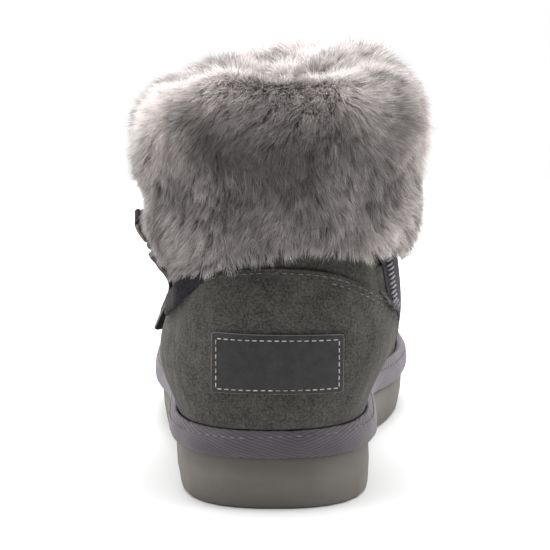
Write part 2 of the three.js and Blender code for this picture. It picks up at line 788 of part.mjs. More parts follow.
const tape = zipStrip(ZIP_WIDTH, FORM_GAP, ZIP_THICK, TAPE_RISE);
const teeth = zipStrip(TEETH_WIDTH, FORM_GAP + ZIP_THICK + GAP, TEETH_THICK, TEETH_RISE);
addPiece("zip_tape", tape, { color: 0x232224, roughness: 0.8, metalness: 0 });
addPiece("zip_teeth", teeth, { color: 0x8d8d90, roughness: 0.4, metalness: 0 });

addPiece("tie_knot", tieKnot(), tieSuede);
for (const [name, route] of Object.entries(TIE_ROUTES)) addPiece(name, strip(route), tieSuede);

// The origin goes to the middle of the box round everything but the bow, on the floor.
const footprint = new THREE.Box3();
for (const mesh of boot.children.filter((piece) => !piece.name.startsWith("tie_"))) {
  footprint.expandByObject(mesh);
}
const middle = footprint.getCenter(new THREE.Vector3());
boot.position.set(-middle.x, -middle.y, 0);

export default boot;
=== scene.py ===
"""The looks of a short sheepskin boot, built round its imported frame.

Suede upper and heel counter, bare leather label, folded rand, light wedge sole, side zip,
suede bow and a deep fur cuff. Metres; +Y runs from the heel to the toe, +X is the inner side.
"""

import json
import logging
import math
from dataclasses import dataclass, field
from enum import Enum
from typing import Callable, Optional, Sequence, Union

import bpy
import numpy as np
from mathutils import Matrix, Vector, noise
from mathutils.bvhtree import BVHTree
from mathutils.kdtree import KDTree


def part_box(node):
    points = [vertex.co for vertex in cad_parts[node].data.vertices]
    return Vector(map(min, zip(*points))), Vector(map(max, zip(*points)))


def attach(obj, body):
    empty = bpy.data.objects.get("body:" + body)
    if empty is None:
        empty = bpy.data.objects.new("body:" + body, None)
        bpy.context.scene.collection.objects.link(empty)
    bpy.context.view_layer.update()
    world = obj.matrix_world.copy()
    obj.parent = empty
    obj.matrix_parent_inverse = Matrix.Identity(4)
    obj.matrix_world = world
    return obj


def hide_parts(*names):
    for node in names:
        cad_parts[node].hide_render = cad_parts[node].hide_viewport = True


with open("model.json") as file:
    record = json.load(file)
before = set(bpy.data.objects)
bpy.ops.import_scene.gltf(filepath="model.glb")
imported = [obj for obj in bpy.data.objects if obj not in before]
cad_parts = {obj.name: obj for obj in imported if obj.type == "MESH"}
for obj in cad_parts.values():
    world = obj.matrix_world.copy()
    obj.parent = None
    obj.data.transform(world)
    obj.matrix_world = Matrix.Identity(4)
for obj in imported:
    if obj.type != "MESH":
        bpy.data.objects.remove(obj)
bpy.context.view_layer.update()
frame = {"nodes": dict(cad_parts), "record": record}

LOG = logging.getLogger("sheepskin_boot")
MM = 0.001
FAR = 0.2  # a place this many metres out is clear of the boot
SHARP = 50.0  # edges sharper than this many degrees are rounded
ROOT = "root"
FUR_MAP = "OFBake"
BLADE_CORNERS = 5
RIB_ALONG = "along"
RIB_HEIGHT = "rise"

MOUNTS = {mount["name"]: mount for mount in frame["record"]["mounts"]}
HEEL = np.array([MOUNTS["heel_rest"]["pos_m"][0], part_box("outsole")[0].y, 0.0])
LEVEL = np.array([1.0, 1.0, 0.0])
UP = np.array([0.0, 0.0, 1.0])


def place(x: float, y: float, z: float) -> np.ndarray:
    """Turns millimetres from the back of the heel, on the floor, into the frame's metres."""
    return HEEL + np.array([x, y, z]) * MM


SHAFT_AXIS = place(0, 52, 0)


def in_mm(places: np.ndarray) -> np.ndarray:
    """Turns places in the frame into rows of x, y and z millimetres from the back of the heel."""
    return ((places - HEEL) / MM).T


def shade(red: int, green: int, blue: int) -> tuple[float, float, float, float]:
    """Turns a paint chart's 0 to 255 colour into linear light."""

    def linear(value: float) -> float:
        """One channel of it."""
        share = value / 255
        return share / 12.92 if share < 0.04045 else ((share + 0.055) / 1.055) ** 2.4

    return (linear(red), linear(green), linear(blue), 1.0)


# ------------------------ shader building


class Wire:
    """An output socket of a material's nodes; arithmetic on it adds Math nodes."""

    def __init__(self, bench: "Bench", socket: bpy.types.NodeSocket) -> None:
        """Keeps the bench that the socket belongs to."""
        self.bench = bench
        self.socket = socket

    def _math(self, operation: str, first: "Value", second: "Value") -> "Wire":
        """One Math node on two values."""
        return self.bench.node("ShaderNodeMath", {"operation": operation}, {0: first, 1: second})

    def __add__(self, other: "Value") -> "Wire":
        """Sum."""
        return self._math("ADD", self, other)

    __radd__ = __add__

    def __sub__(self, other: "Value") -> "Wire":
        """Difference."""
        return self._math("SUBTRACT", self, other)

    def __rsub__(self, other: "Value") -> "Wire":
        """Difference from a number."""
        return self._math("SUBTRACT", other, self)

    def __mul__(self, other: "Value") -> "Wire":
        """Product."""
        return self._math("MULTIPLY", self, other)

    __rmul__ = __mul__

    def sine(self) -> "Wire":
        """Sine of the value."""
        return self._math("SINE", self, 0.0)


Value = Union[Wire, float, Sequence[float]]


@dataclass(frozen=True)
class Grain:
    """A noise pattern.

    Metres from blob to blob, how many finer layers it has, how strong those are, and how much
    the pattern counts in its finish's tone.
    """

    size: float
    detail: float = 2.0
    rough: float = 0.5
    share: float = 1.0


@dataclass(frozen=True)
class Relief:
    """How a pattern stands out: metres from its low to its high, and the share that is used."""

    depth: float
    strength: float


class Bench:
    """A material in the making."""

    def __init__(self, name: str) -> None:
        """Starts an empty material.

        Args:
            name: the material's name.
        """
        self.material = bpy.data.materials.new(name)
        self.material.use_nodes = True
        self.tree = self.material.node_tree
        self.tree.nodes.clear()

    def node(self, kind: str, settings: Optional[dict] = None, inputs: Optional[dict] = None,
             output: Union[int, str] = 0) -> Wire:
        """Adds one node.

        Args:
            kind: the node's type.
            settings: properties set first; "ramp" holds a colour ramp's stops.
            inputs: values or wires by the socket's name or number.
            output: which output to hand back.

        Returns:
            The chosen output as a Wire.
        """
        node = self.tree.nodes.new(kind)
        for key, value in (settings or {}).items():
            if key == "ramp":
                self._fill_ramp(node, value)
            else:
                setattr(node, key, value)
        for key, value in (inputs or {}).items():
            if isinstance(value, Wire):
                self.tree.links.new(value.socket, node.inputs[key])
            else:
                node.inputs[key].default_value = value
        return Wire(self, node.outputs[output])

    @staticmethod
    def _fill_ramp(node: bpy.types.Node, stops: Sequence[tuple]) -> None:
        """Gives a colour ramp its stops, as (position, colour) pairs.

        Args:
            node: the ramp's node.
            stops: the pairs.
        """
        elements = node.color_ramp.elements
        while len(elements) < len(stops):
            elements.new(1.0)
        for element, (position, colour) in zip(elements, stops):
            element.position = position
            element.color = colour

    def place(self) -> Wire:
        """The point on the object, in metres."""
        return self.node("ShaderNodeTexCoord", output="Object")

    def parts(self, vector: Wire) -> tuple[Wire, Wire, Wire]:
        """The three numbers of a vector."""
        outputs = self.node("ShaderNodeSeparateXYZ", None, {0: vector}).socket.node.outputs
        return Wire(self, outputs[0]), Wire(self, outputs[1]), Wire(self, outputs[2])

    def stored(self, name: str) -> Wire:
        """A number that the mesh keeps at its vertices."""
        return self.node("ShaderNodeAttribute", {"attribute_name": name}, output="Fac")

    def noise(self, grain: Grain, at: Optional[Wire] = None) -> Wire:
        """Noise of a given grain.

        Args:
            grain: its size and layers.
            at: where it is read, or None for the object's own place.

        Returns:
            A value about 0.5.
        """
        inputs = {"Vector": at or self.place(), "Scale": 1 / grain.size, "Detail": grain.detail,
                  "Roughness": grain.rough}
        return self.node("ShaderNodeTexNoise", {"noise_dimensions": "3D"}, inputs)

    def stretched(self, scale: Sequence[float]) -> Wire:
        """The object's own place, squeezed along its axes."""
        return self.node("ShaderNodeMapping", None, {"Vector": self.place(), "Scale": scale})

    def ramp(self, value: Value, *stops: tuple) -> Wire:
        """A colour by value."""
        return self.node("ShaderNodeValToRGB", {"ramp": stops}, {0: value})

    def shades(self, value: Value, span: tuple[float, float], dark: tuple, light: tuple) -> Wire:
        """A colour from dark to light while the value crosses a span."""
        return self.ramp(value, (span[0], dark), (span[1], light))

    def mix(self, share: Value, first: Value, second: Value) -> Wire:
        """A colour between two."""
        inputs = {0: share, 6: first, 7: second}
        return self.node("ShaderNodeMix", {"data_type": "RGBA"}, inputs, 2)

    def bump(self, height: Wire, relief: Relief, below: Optional[Wire] = None) -> Wire:
        """A normal that follows a height.

        Args:
            height: from 0 to 1.
            relief: how far it stands out.
            below: a coarser bump that this one lies on.

        Returns:
            The normal.
        """
        inputs = {"Height": height, "Distance": relief.depth, "Strength": relief.strength}
        if below is not None:
            inputs["Normal"] = below
        return self.node("ShaderNodeBump", None, inputs)

    def finish(self, **sockets: Value) -> bpy.types.Material:
        """Closes the material with one main shader.

        Args:
            **sockets: its sockets, with _ for a space.

        Returns:
            The material.
        """
        inputs = {key.replace("_", " "): value for key, value in sockets.items()}
        shader = self.node("ShaderNodeBsdfPrincipled", None, inputs)
        self.node_output(shader)
        return self.material

    def node_output(self, shader: Wire) -> None:
        """Joins a shader to the material's output."""
        output = self.tree.nodes.new("ShaderNodeOutputMaterial")
        self.tree.links.new(shader.socket, output.inputs["Surface"])


# ------------------------ finishes


def dimmed(colour: tuple, share: float) -> tuple[float, ...]:
    """A colour brought down to a share of its light."""
    return tuple(channel * share for channel in colour[:3]) + (1.0,)


@dataclass(frozen=True)
class Suede:
    """Brushed suede: a mottled nap over soft creases."""

    name: str
    dark: tuple = shade(40, 39, 37)
    light: tuple = shade(88, 86, 83)
    sheen: tuple = shade(200, 196, 192)
    span: tuple = (0.26, 0.78)
    level: float = 0.71
    nap: Grain = Grain(0.85 * MM, 4.0, 0.7, 1.15)
    fibre: Grain = Grain(0.5 * MM, 2.0, 0.6, 0.5)
    mottle: Grain = Grain(5.5 * MM, share=0.32)
    brush: Grain = Grain(26 * MM, share=0.45)
    brush_squeeze: tuple = (1, 1, 0.6)
    crease: Grain = Grain(9 * MM)
    crease_squeeze: tuple = (1, 1, 0.4)
    crease_relief: Relief = Relief(3.6 * MM, 0.5)
    nap_relief: Relief = Relief(0.55 * MM, 0.6)
    nap_part: float = 0.7

    def material(self) -> bpy.types.Material:
        """Builds it.

        Returns:
            The material.
        """
        bench = Bench(self.name)
        nap = bench.noise(self.nap)
        fibre = bench.noise(self.fibre)
        blotch = bench.noise(self.mottle)
        broad = bench.noise(self.brush, bench.stretched(self.brush_squeeze))
        fine_tone = nap * self.nap.share + fibre * self.fibre.share
        tone = fine_tone + blotch * self.mottle.share + broad * self.brush.share - self.level
        colour = bench.shades(tone, self.span, self.dark, self.light)
        crease = bench.noise(self.crease, bench.stretched(self.crease_squeeze))
        folds = bench.bump(crease, self.crease_relief)
        pile = nap * self.nap_part + fibre * (1 - self.nap_part)
        normal = bench.bump(pile, self.nap_relief, folds)
        return bench.finish(Base_Color=colour, Roughness=0.96, Sheen_Weight=0.2, Sheen_Roughness=0.5,
                            Sheen_Tint=self.sheen, Specular_IOR_Level=0.12, Normal=normal)


@dataclass(frozen=True)
class CutEdge:
    """The paler, fibrous cut edge of a hide; on the label, paler also as a painted highlight along its rim.
    """

    name: str
    colour: tuple
    shadow: float = 0.62
    span: tuple = (0.3, 0.7)
    grain: Grain = Grain(0.8 * MM, 3.0, 0.6)
    relief: Relief = Relief(0.25 * MM, 0.6)

    def material(self) -> bpy.types.Material:
        """Builds it.

        Returns:
            The material.
        """
        bench = Bench(self.name)
        fibre = bench.noise(self.grain)
        colour = bench.shades(fibre, self.span, dimmed(self.colour, self.shadow), self.colour)
        normal = bench.bump(fibre, self.relief)
        return bench.finish(Base_Color=colour, Roughness=0.95, Specular_IOR_Level=0.15, Normal=normal)


@dataclass(frozen=True)
class LabelLeather:
    """Smooth dark leather with a fine pebble."""

    name: str = "label_leather"
    dark: tuple = shade(17, 16, 17)
    light: tuple = shade(41, 40, 42)
    span: tuple = (0.38, 0.72)
    haze: Grain = Grain(5 * MM, 4.0, 0.62)
    pebble: float = 0.7 * MM
    pebble_blur: float = 0.6
    pebble_share: float = 0.12
    pebble_relief: Relief = Relief(0.08 * MM, 0.5)
    least_rough: float = 0.42
    more_rough: float = 0.3

    def material(self) -> bpy.types.Material:
        """Builds it.

        Returns:
            The material.
        """
        bench = Bench(self.name)
        inputs = {"Vector": bench.place(), "Scale": 1 / self.pebble, "Smoothness": self.pebble_blur}
        cell = bench.node("ShaderNodeTexVoronoi", {"feature": "SMOOTH_F1"}, inputs)
        haze = bench.noise(self.haze)
        colour = bench.shades(haze + cell * self.pebble_share, self.span, self.dark, self.light)
        rough = self.least_rough + haze * self.more_rough
        normal = bench.bump(cell, self.pebble_relief)
        return bench.finish(Base_Color=colour, Roughness=rough, Specular_IOR_Level=0.4, Normal=normal)


@dataclass(frozen=True)
class RandBinding:
    """Satin binding with fine slanting ribs, which meet in a point at the heel."""

    name: str = "rand_leather"
    dark: tuple = shade(56, 51, 57)
    light: tuple = shade(83, 77, 83)
    sheen: tuple = shade(214, 204, 216)
    span: tuple = (0.3, 0.8)
    rib_pitch: float = 1.1 * MM
    rib_share: float = 0.32
    slant: float = math.radians(72)
    wander: Grain = Grain(9 * MM, share=5.0)
    worn: Grain = Grain(13 * MM, 3.0, 0.55, 0.6)
    fine: Grain = Grain(0.5 * MM, 2.0, 0.6, 0.2)
    relief: Relief = Relief(0.26 * MM, 0.8)
    relief_gain: float = 1.4
    relief_loss: float = 0.1
    fine_height: float = 0.25

    def material(self) -> bpy.types.Material:
        """Builds it.

        Returns:
            The material.
        """
        bench = Bench(self.name)
        along = bench.stored(RIB_ALONG)
        height = bench.stored(RIB_HEIGHT)
        wander = bench.noise(self.wander)
        across = height * math.sin(self.slant) - along * math.cos(self.slant)
        phase = across * (2 * math.pi / self.rib_pitch) + wander * self.wander.share
        rib = phase.sine() * 0.5 + 0.5
        worn = bench.noise(self.worn)
        fine = bench.noise(self.fine)
        tone = worn * self.worn.share + rib * self.rib_share + fine * self.fine.share
        colour = bench.shades(tone, self.span, self.dark, self.light)
        kept_rib = rib * (worn * self.relief_gain - self.relief_loss)
        normal = bench.bump(kept_rib + fine * self.fine_height, self.relief)
        return bench.finish(Base_Color=colour, Roughness=0.55, Sheen_Weight=0.12, Sheen_Roughness=0.45,
                            Sheen_Tint=self.sheen, Specular_IOR_Level=0.35, Normal=normal)


@dataclass(frozen=True)
class SoleFoam:
    """Matt moulded foam with a faint skin."""

    name: str = "sole_foam"
    dark: tuple = shade(99, 96, 91)
    light: tuple = shade(111, 108, 102)
    span: tuple = (0.38, 0.7)
    haze: Grain = Grain(16 * MM, 3.0, 0.5, 0.6)
    pores: Grain = Grain(0.45 * MM, 2.0, 0.55, 0.12)
    streak: Grain = Grain(7 * MM, share=0.35)
    streak_squeeze: tuple = (0.12, 0.12, 1.0)
    relief: Relief = Relief(0.05 * MM, 0.5)
    pore_part: float = 0.6

    def material(self) -> bpy.types.Material:
        """Builds it.

        Returns:
            The material.
        """
        bench = Bench(self.name)
        haze = bench.noise(self.haze)
        pore = bench.noise(self.pores)
        streak = bench.noise(self.streak, bench.stretched(self.streak_squeeze))
        tone = haze * self.haze.share + streak * self.streak.share + pore * self.pores.share
        colour = bench.shades(tone, self.span, self.dark, self.light)
        normal = bench.bump(pore * self.pore_part + streak * (1 - self.pore_part), self.relief)
        return bench.finish(Base_Color=colour, Roughness=0.8, Specular_IOR_Level=0.15, Normal=normal)


@dataclass(frozen=True)
class Wool:
    """The pile's hair: each hair's tone lies across its map, and root to tip up it; the dark root is partly
    painted shade deep in the pile, the pale tip partly painted light.
    """

    name: str
    # The dark root is partly painted shade deep in the pile, and the pale tip partly painted light on the
    # tips.
    root: tuple = shade(82, 78, 78)
    belly: tuple = shade(127, 121, 121)
    tip: tuple = shade(207, 201, 199)
    belly_at: float = 0.42
    dim: float = 0.42
    bright: float = 1.8
    through: float = 0.45

    def material(self) -> bpy.types.Material:
        """Builds it.

        Returns:
            The material.
        """
        bench = Bench(self.name)
        tone, rise, _ = bench.parts(bench.node("ShaderNodeUVMap", {"uv_map": FUR_MAP}))
        body = bench.ramp(rise, (0.0, self.root), (self.belly_at, self.belly), (1.0, self.tip))
        light = self.dim + tone * (self.bright - self.dim)
        gain = bench.node("ShaderNodeCombineXYZ", None, {0: light, 1: light, 2: light})
        colour = bench.node("ShaderNodeMix", {"data_type": "RGBA", "blend_type": "MULTIPLY"},
                            {0: 1.0, 6: body, 7: gain}, 2)
        inputs = {"Base Color": colour, "Roughness": 0.85, "Specular IOR Level": 0.15}
        front = bench.node("ShaderNodeBsdfPrincipled", None, inputs)
        through = bench.node("ShaderNodeBsdfTranslucent", None, {"Color": colour})
        bench.node_output(bench.node("ShaderNodeMixShader", None, {0: self.through, 1: front, 2: through}))
        return bench.material


@dataclass(frozen=True)
class Felt:
    """Short wool close to the skin: the ground under the hair, and the lining."""

    name: str
    dark: tuple
    light: tuple
    span: tuple = (0.38, 0.75)
    curl: Grain = Grain(1.6 * MM, 4.0, 0.65, 0.7)
    lump: Grain = Grain(9.6 * MM, share=0.4)
    relief: Relief = Relief(0.9 * MM, 0.8)

    def material(self) -> bpy.types.Material:
        """Builds it.

        Returns:
            The material.
        """
        bench = Bench(self.name)
        curl = bench.noise(self.curl)
        lump = bench.noise(self.lump)
        tone = curl * self.curl.share + lump * self.lump.share
        colour = bench.shades(tone, self.span, self.dark, self.light)
        normal = bench.bump(curl, self.relief)
        return bench.finish(Base_Color=colour, Roughness=1.0, Sheen_Weight=0.4, Sheen_Roughness=0.6,
                            Specular_IOR_Level=0.1, Normal=normal)


@dataclass(frozen=True)
class ZipCloth:
    """Close woven tape."""

    name: str = "zip_cloth"
    warp: tuple = shade(30, 28, 31)
    weft: tuple = shade(62, 58, 64)
    pitch: float = 0.7 * MM
    rib_slant: float = 0.5
    pick_slant: float = 0.6
    relief: Relief = Relief(0.12 * MM, 0.7)

    def material(self) -> bpy.types.Material:
        """Builds it.

        Returns:
            The material.
        """
        bench = Bench(self.name)
        _, depth, height = bench.parts(bench.place())
        turns = 2 * math.pi / self.pitch
        ribs = ((height + depth * self.rib_slant) * turns).sine()
        picks = ((height * self.pick_slant - depth) * turns).sine()
        weave = ribs * picks * 0.5 + 0.5
        colour = bench.mix(weave, self.warp, self.weft)
        normal = bench.bump(weave, self.relief)
        return bench.finish(Base_Color=colour, Roughness=0.8, Specular_IOR_Level=0.25, Normal=normal)


@dataclass(frozen=True)
class Moulded:
    """Plain moulded plastic."""

    name: str
    colour: tuple
    rough: float = 0.4
    shadow: float = 0.75
    span: tuple = (0.3, 0.7)
    haze: Grain = Grain(1.2 * MM)

    def material(self) -> bpy.types.Material:
        """Builds it.

        Returns:
            The material.
        """
        bench = Bench(self.name)
        haze = bench.noise(self.haze)
        colour = bench.shades(haze, self.span, dimmed(self.colour, self.shadow), self.colour)
        return bench.finish(Base_Color=colour, Roughness=self.rough, Specular_IOR_Level=0.5)


@dataclass(frozen=True)
class Thread:
    """Twisted sewing thread."""

    name: str = "thread"
    dark: tuple = shade(70, 68, 66)
    light: tuple = shade(120, 117, 113)
    span: tuple = (0.35, 0.6)
    twist: Grain = Grain(0.35 * MM, share=0.4)
    wear: Grain = Grain(6 * MM, share=0.6)

    def material(self) -> bpy.types.Material:
        """Builds it.

        Returns:
            The material.
        """
        bench = Bench(self.name)
        twist = bench.noise(self.twist)
        wear = bench.noise(self.wear)
        tone = twist * self.twist.share + wear * self.wear.share
        colour = bench.shades(tone, self.span, self.dark, self.light)
        return bench.finish(Base_Color=colour, Roughness=0.75, Specular_IOR_Level=0.2)


@dataclass(frozen=True)
class FloorPaper:
    """Matt pale paper."""

    name: str = "floor_paper"
    dark: tuple = (0.67, 0.67, 0.67, 1)
    light: tuple = (0.69, 0.69, 0.69, 1)
    grain: Grain = Grain(20 * MM)

    def material(self) -> bpy.types.Material:
        """Builds it.

        Returns:
            The material.
        """
        bench = Bench(self.name)
        pale = bench.mix(bench.noise(self.grain), self.dark, self.light)
        return bench.finish(Base_Color=pale, Roughness=0.9, Specular_IOR_Level=0.0)


# ------------------------ modelling


def pick(*pieces: bpy.types.Object) -> None:
    """Selects these objects alone and makes the first one active.

    Args:
        *pieces: the objects.
    """
    bpy.ops.object.select_all(action="DESELECT")
    for piece in pieces:
        piece.select_set(True)
    bpy.context.view_layer.objects.active = pieces[0]


def corners(piece: bpy.types.Object) -> np.ndarray:
    """The places of a mesh's vertices.

    Args:
        piece: the mesh's object.

    Returns:
        One row for each vertex.
    """
    flat = np.empty(len(piece.data.vertices) * 3, np.float32)
    piece.data.vertices.foreach_get("co", flat)
    return flat.reshape(-1, 3).astype(float)


def move_corners(piece: bpy.types.Object, places: np.ndarray) -> None:
    """Puts a mesh's vertices at new places."""
    piece.data.vertices.foreach_set("co", places.astype(np.float32).ravel())
    piece.data.update()


def outward(piece: bpy.types.Object) -> np.ndarray:
    """The normals of a mesh's vertices.

    Args:
        piece: the mesh's object.

    Returns:
        One row for each vertex.
    """
    flat = np.empty(len(piece.data.vertices) * 3, np.float32)
    piece.data.vertex_normals.foreach_get("vector", flat)
    return flat.reshape(-1, 3).astype(float)


def unit(vectors: np.ndarray) -> np.ndarray:
    """Vectors brought to length one."""
    length = np.linalg.norm(vectors, axis=-1, keepdims=True)
    return vectors / np.maximum(length, 1e-12)


def ease(low: float, high: float, values: np.ndarray) -> np.ndarray:
    """A smooth step from 0 at low to 1 at high."""
    share = np.clip((values - low) / (high - low), 0.0, 1.0)
    return share * share * (3 - 2 * share)


def band(values: np.ndarray, limits: Sequence[float]) -> np.ndarray:
    """Rises smoothly from 0 to 1 between the first two limits and falls between the last two."""
    return ease(limits[0], limits[1], values) * (1 - ease(limits[2], limits[3], values))


def cad_copy(node: str, name: str, weld: float = 0.01 * MM,
             flat: float = math.radians(60)) -> bpy.types.Object:
    """Copies a node's mesh as one closed skin of quads.

    Args:
        node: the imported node.
        name: the new piece's name.
        weld: corners closer than this become one.
        flat: triangles that meet at less than this angle are paired.

    Returns:
        The new object.
    """
    piece = bpy.data.objects.new(name, frame["nodes"][node].data.copy())
    piece.data.materials.clear()
    bpy.context.scene.collection.objects.link(piece)
    pick(piece)
    bpy.ops.object.mode_set(mode="EDIT")
    bpy.ops.mesh.select_all(action="SELECT")
    bpy.ops.mesh.remove_doubles(threshold=weld)
    bpy.ops.mesh.tris_convert_to_quads(face_threshold=flat, shape_threshold=flat)
    bpy.ops.object.mode_set(mode="OBJECT")
    bpy.ops.object.shade_smooth()
    return piece


def modify(piece: bpy.types.Object, kind: str, **settings: object) -> None:
    """Adds a modifier with these settings and applies it.

    Args:
        piece: what it works on.
        kind: the modifier's type.
        **settings: its properties.
    """
    pick(piece)
    modifier = piece.modifiers.new(kind.lower(), kind)
    for key, value in settings.items():
        setattr(modifier, key, value)
    bpy.ops.object.modifier_apply(modifier=modifier.name)


def refine(piece: bpy.types.Object, levels: int) -> None:
    """Subdivides a piece into a smooth surface."""
    modify(piece, "SUBSURF", levels=levels, render_levels=levels)


def soften_edges(piece: bpy.types.Object, width: float, segments: int, angle: float) -> None:
    """Rounds a piece's edges that are sharper than an angle in degrees."""
    modify(piece, "BEVEL", width=width, segments=segments, limit_method="ANGLE",
           angle_limit=math.radians(angle))


def displace(piece: bpy.types.Object, height: Callable[[np.ndarray], np.ndarray]) -> None:
    """Moves a mesh's vertices along their normals, by a height that their places give."""
    places, normals = corners(piece), outward(piece)
    move_corners(piece, places + normals * height(places)[:, None])


def smooth_noise(places: np.ndarray, size: float, shift: float = 0.0) -> np.ndarray:
    """Soft noise about 0 at many places, with blobs of a given size."""
    offset = Vector((shift, -shift, 2 * shift))
    return np.array([noise.noise(Vector(p) / size + offset) for p in places])


def new_mesh(name: str, places: np.ndarray, faces: Sequence[Sequence[int]]) -> bpy.types.Object:
    """A smooth-shaded object from places and faces.

    Args:
        name: its name.
        places: its corners.
        faces: the numbers of each face's corners.

    Returns:
        The object.
    """
    mesh = bpy.data.meshes.new(name)
    mesh.from_pydata(places.tolist(), [], [list(face) for face in faces])
    mesh.polygons.foreach_set("use_smooth", [True] * len(mesh.polygons))
    mesh.update()
    piece = bpy.data.objects.new(name, mesh)
    bpy.context.scene.collection.objects.link(piece)
    return piece


def hand_over(piece: bpy.types.Object, slot: Optional[str], *nodes: str) -> None:
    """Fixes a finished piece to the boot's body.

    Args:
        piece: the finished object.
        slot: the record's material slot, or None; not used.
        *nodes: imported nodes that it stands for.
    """
    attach(piece, ROOT)
    if nodes:
        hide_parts(*nodes)
    LOG.info("%s: %d faces", piece.name, len(piece.data.polygons))


class Skin:
    """A mesh's surface, for finding places on it."""

    def __init__(self, *pieces: bpy.types.Object) -> None:
        """Reads the meshes.

        Args:
            *pieces: the objects that make up the surface.
        """
        places, polygons = [], []
        for piece in pieces:
            start = len(places)
            places.extend(corners(piece).tolist())
            polygons.extend([start + v for v in polygon.vertices] for polygon in piece.data.polygons)
        self.tree = BVHTree.FromPolygons(places, polygons)

    @staticmethod
    def _split(found: Sequence[tuple]) -> tuple[np.ndarray, np.ndarray]:
        """The points and the normals of a list of hits."""
        return np.array([hit[0] for hit in found]), np.array([hit[1] for hit in found])

    def nearest(self, places: np.ndarray) -> tuple[np.ndarray, np.ndarray]:
        """The surface's points and normals nearest to the given ones."""
        return self._split([self.tree.find_nearest(Vector(p)) for p in places])

    def wrapped(self, axis: np.ndarray, out: np.ndarray) -> tuple[np.ndarray, np.ndarray]:
        """The outermost points and normals of the surface in directions out from an axis."""
        starts = axis + out * FAR
        return self._split([self.tree.ray_cast(Vector(p), Vector(-o)) for p, o in zip(starts, out)])

    def seen(self, places: np.ndarray, direction: Sequence[float]) -> np.ndarray:
        """Where rays from these places in one direction first meet the surface."""
        hits = [self.tree.ray_cast(Vector(p), Vector(direction)) for p in places]
        return np.array([hit[0] for hit in hits if hit[0] is not None])

    def covers(self, places: np.ndarray, directions: np.ndarray) -> np.ndarray:
        """Whether a ray from each place along its own direction meets the surface."""
        hits = [self.tree.ray_cast(Vector(p), Vector(d)) for p, d in zip(places, directions)]
        return np.array([hit[0] is not None for hit in hits])


def line_length(points: np.ndarray) -> float:
    """Length of a line of points."""
    return float(np.linalg.norm(np.diff(points, axis=0), axis=1).sum())


def share_out(points: np.ndarray, count: int, margin: float = 0.0) -> np.ndarray:
    """Points at equal steps along a line.

    Args:
        points: the line.
        count: how many points to give.
        margin: share of a step left free at both ends.

    Returns:
        The new points.
    """
    run = np.concatenate([[0.0], np.cumsum(np.linalg.norm(np.diff(points, axis=0), axis=1))])
    step = run[-1] / max(count - 1 + 2 * margin, 1)
    targets = (np.arange(count) + margin) * step
    return np.stack([np.interp(targets, run, points[:, axis]) for axis in range(3)], axis=1)


def spline(points: np.ndarray, steps: int, fine: int = 12) -> np.ndarray:
    """A smooth line through points, evenly stepped: Catmull and Rom's, with centripetal knots.

    Args:
        points: the places that it passes.
        steps: how many steps it gets.
        fine: how many points are worked out between two of the places.

    Returns:
        steps + 1 points.
    """
    ends = [2 * points[0] - points[1], *points, 2 * points[-1] - points[-2]]
    line = []
    for a, b, c, d in zip(ends, ends[1:], ends[2:], ends[3:]):
        knots = np.cumsum([0.0] + [math.sqrt(np.linalg.norm(q - p)) for p, q in ((a, b), (b, c), (c, d))])
        for t in np.linspace(knots[1], knots[2], fine, endpoint=False):
            ab = ((knots[1] - t) * a + (t - knots[0]) * b) / (knots[1] - knots[0])
            bc = ((knots[2] - t) * b + (t - knots[1]) * c) / (knots[2] - knots[1])
            cd = ((knots[3] - t) * c + (t - knots[2]) * d) / (knots[3] - knots[2])
            abc = ((knots[2] - t) * ab + (t - knots[0]) * bc) / (knots[2] - knots[0])
            bcd = ((knots[3] - t) * bc + (t - knots[1]) * cd) / (knots[3] - knots[1])
            line.append(((knots[2] - t) * abc + (t - knots[1]) * bcd) / (knots[2] - knots[1]))
    line.append(points[-1])
    return share_out(np.array(line), steps + 1)


def upward_corners(piece: bpy.types.Object, slope: float, above: float = 0.0) -> np.ndarray:
    """The corners of a piece's upward faces.

    Args:
        piece: the piece.
        slope: the least Z that such a face's normal has.
        above: the least height of its middle, in millimetres.

    Returns:
        Their places.
    """
    chosen = set()
    for face in piece.data.polygons:
        if face.normal.z > slope and face.center.z > place(0, 0, above)[2]:
            chosen.update(face.vertices)
    return corners(piece)[sorted(chosen)]


def round_order(places: np.ndarray, middle: np.ndarray) -> np.ndarray:
    """The order of places by their turn round a middle, from the heel over the inner side."""
    turn = np.arctan2(places[:, 0] - middle[0], -(places[:, 1] - middle[1]))
    return np.argsort(turn)


def copies(name: str, pattern: bpy.types.Object, at: np.ndarray, along: np.ndarray,
           up: np.ndarray) -> bpy.types.Object:
    """One mesh of many copies of a small pattern, which is then removed.

    Args:
        name: the new object's name.
        pattern: a small mesh round the origin; its X goes along and its Z up.
        at: place of each copy.
        along: direction of each copy's X.
        up: direction of each copy's Z.

    Returns:
        The new object.
    """
    shape = corners(pattern)
    faces = [list(polygon.vertices) for polygon in pattern.data.polygons]
    x = unit(along)
    y = unit(np.cross(up, x))
    z = np.cross(x, y)
    places = (at[:, None, :] + shape[None, :, 0:1] * x[:, None, :] + shape[None, :, 1:2] * y[:, None, :]
              + shape[None, :, 2:3] * z[:, None, :]).reshape(-1, 3)
    starts = range(0, len(places), len(shape))
    joined = [[start + corner for corner in face] for start in starts for face in faces]
    bpy.data.objects.remove(pattern)
    return new_mesh(name, places, joined)


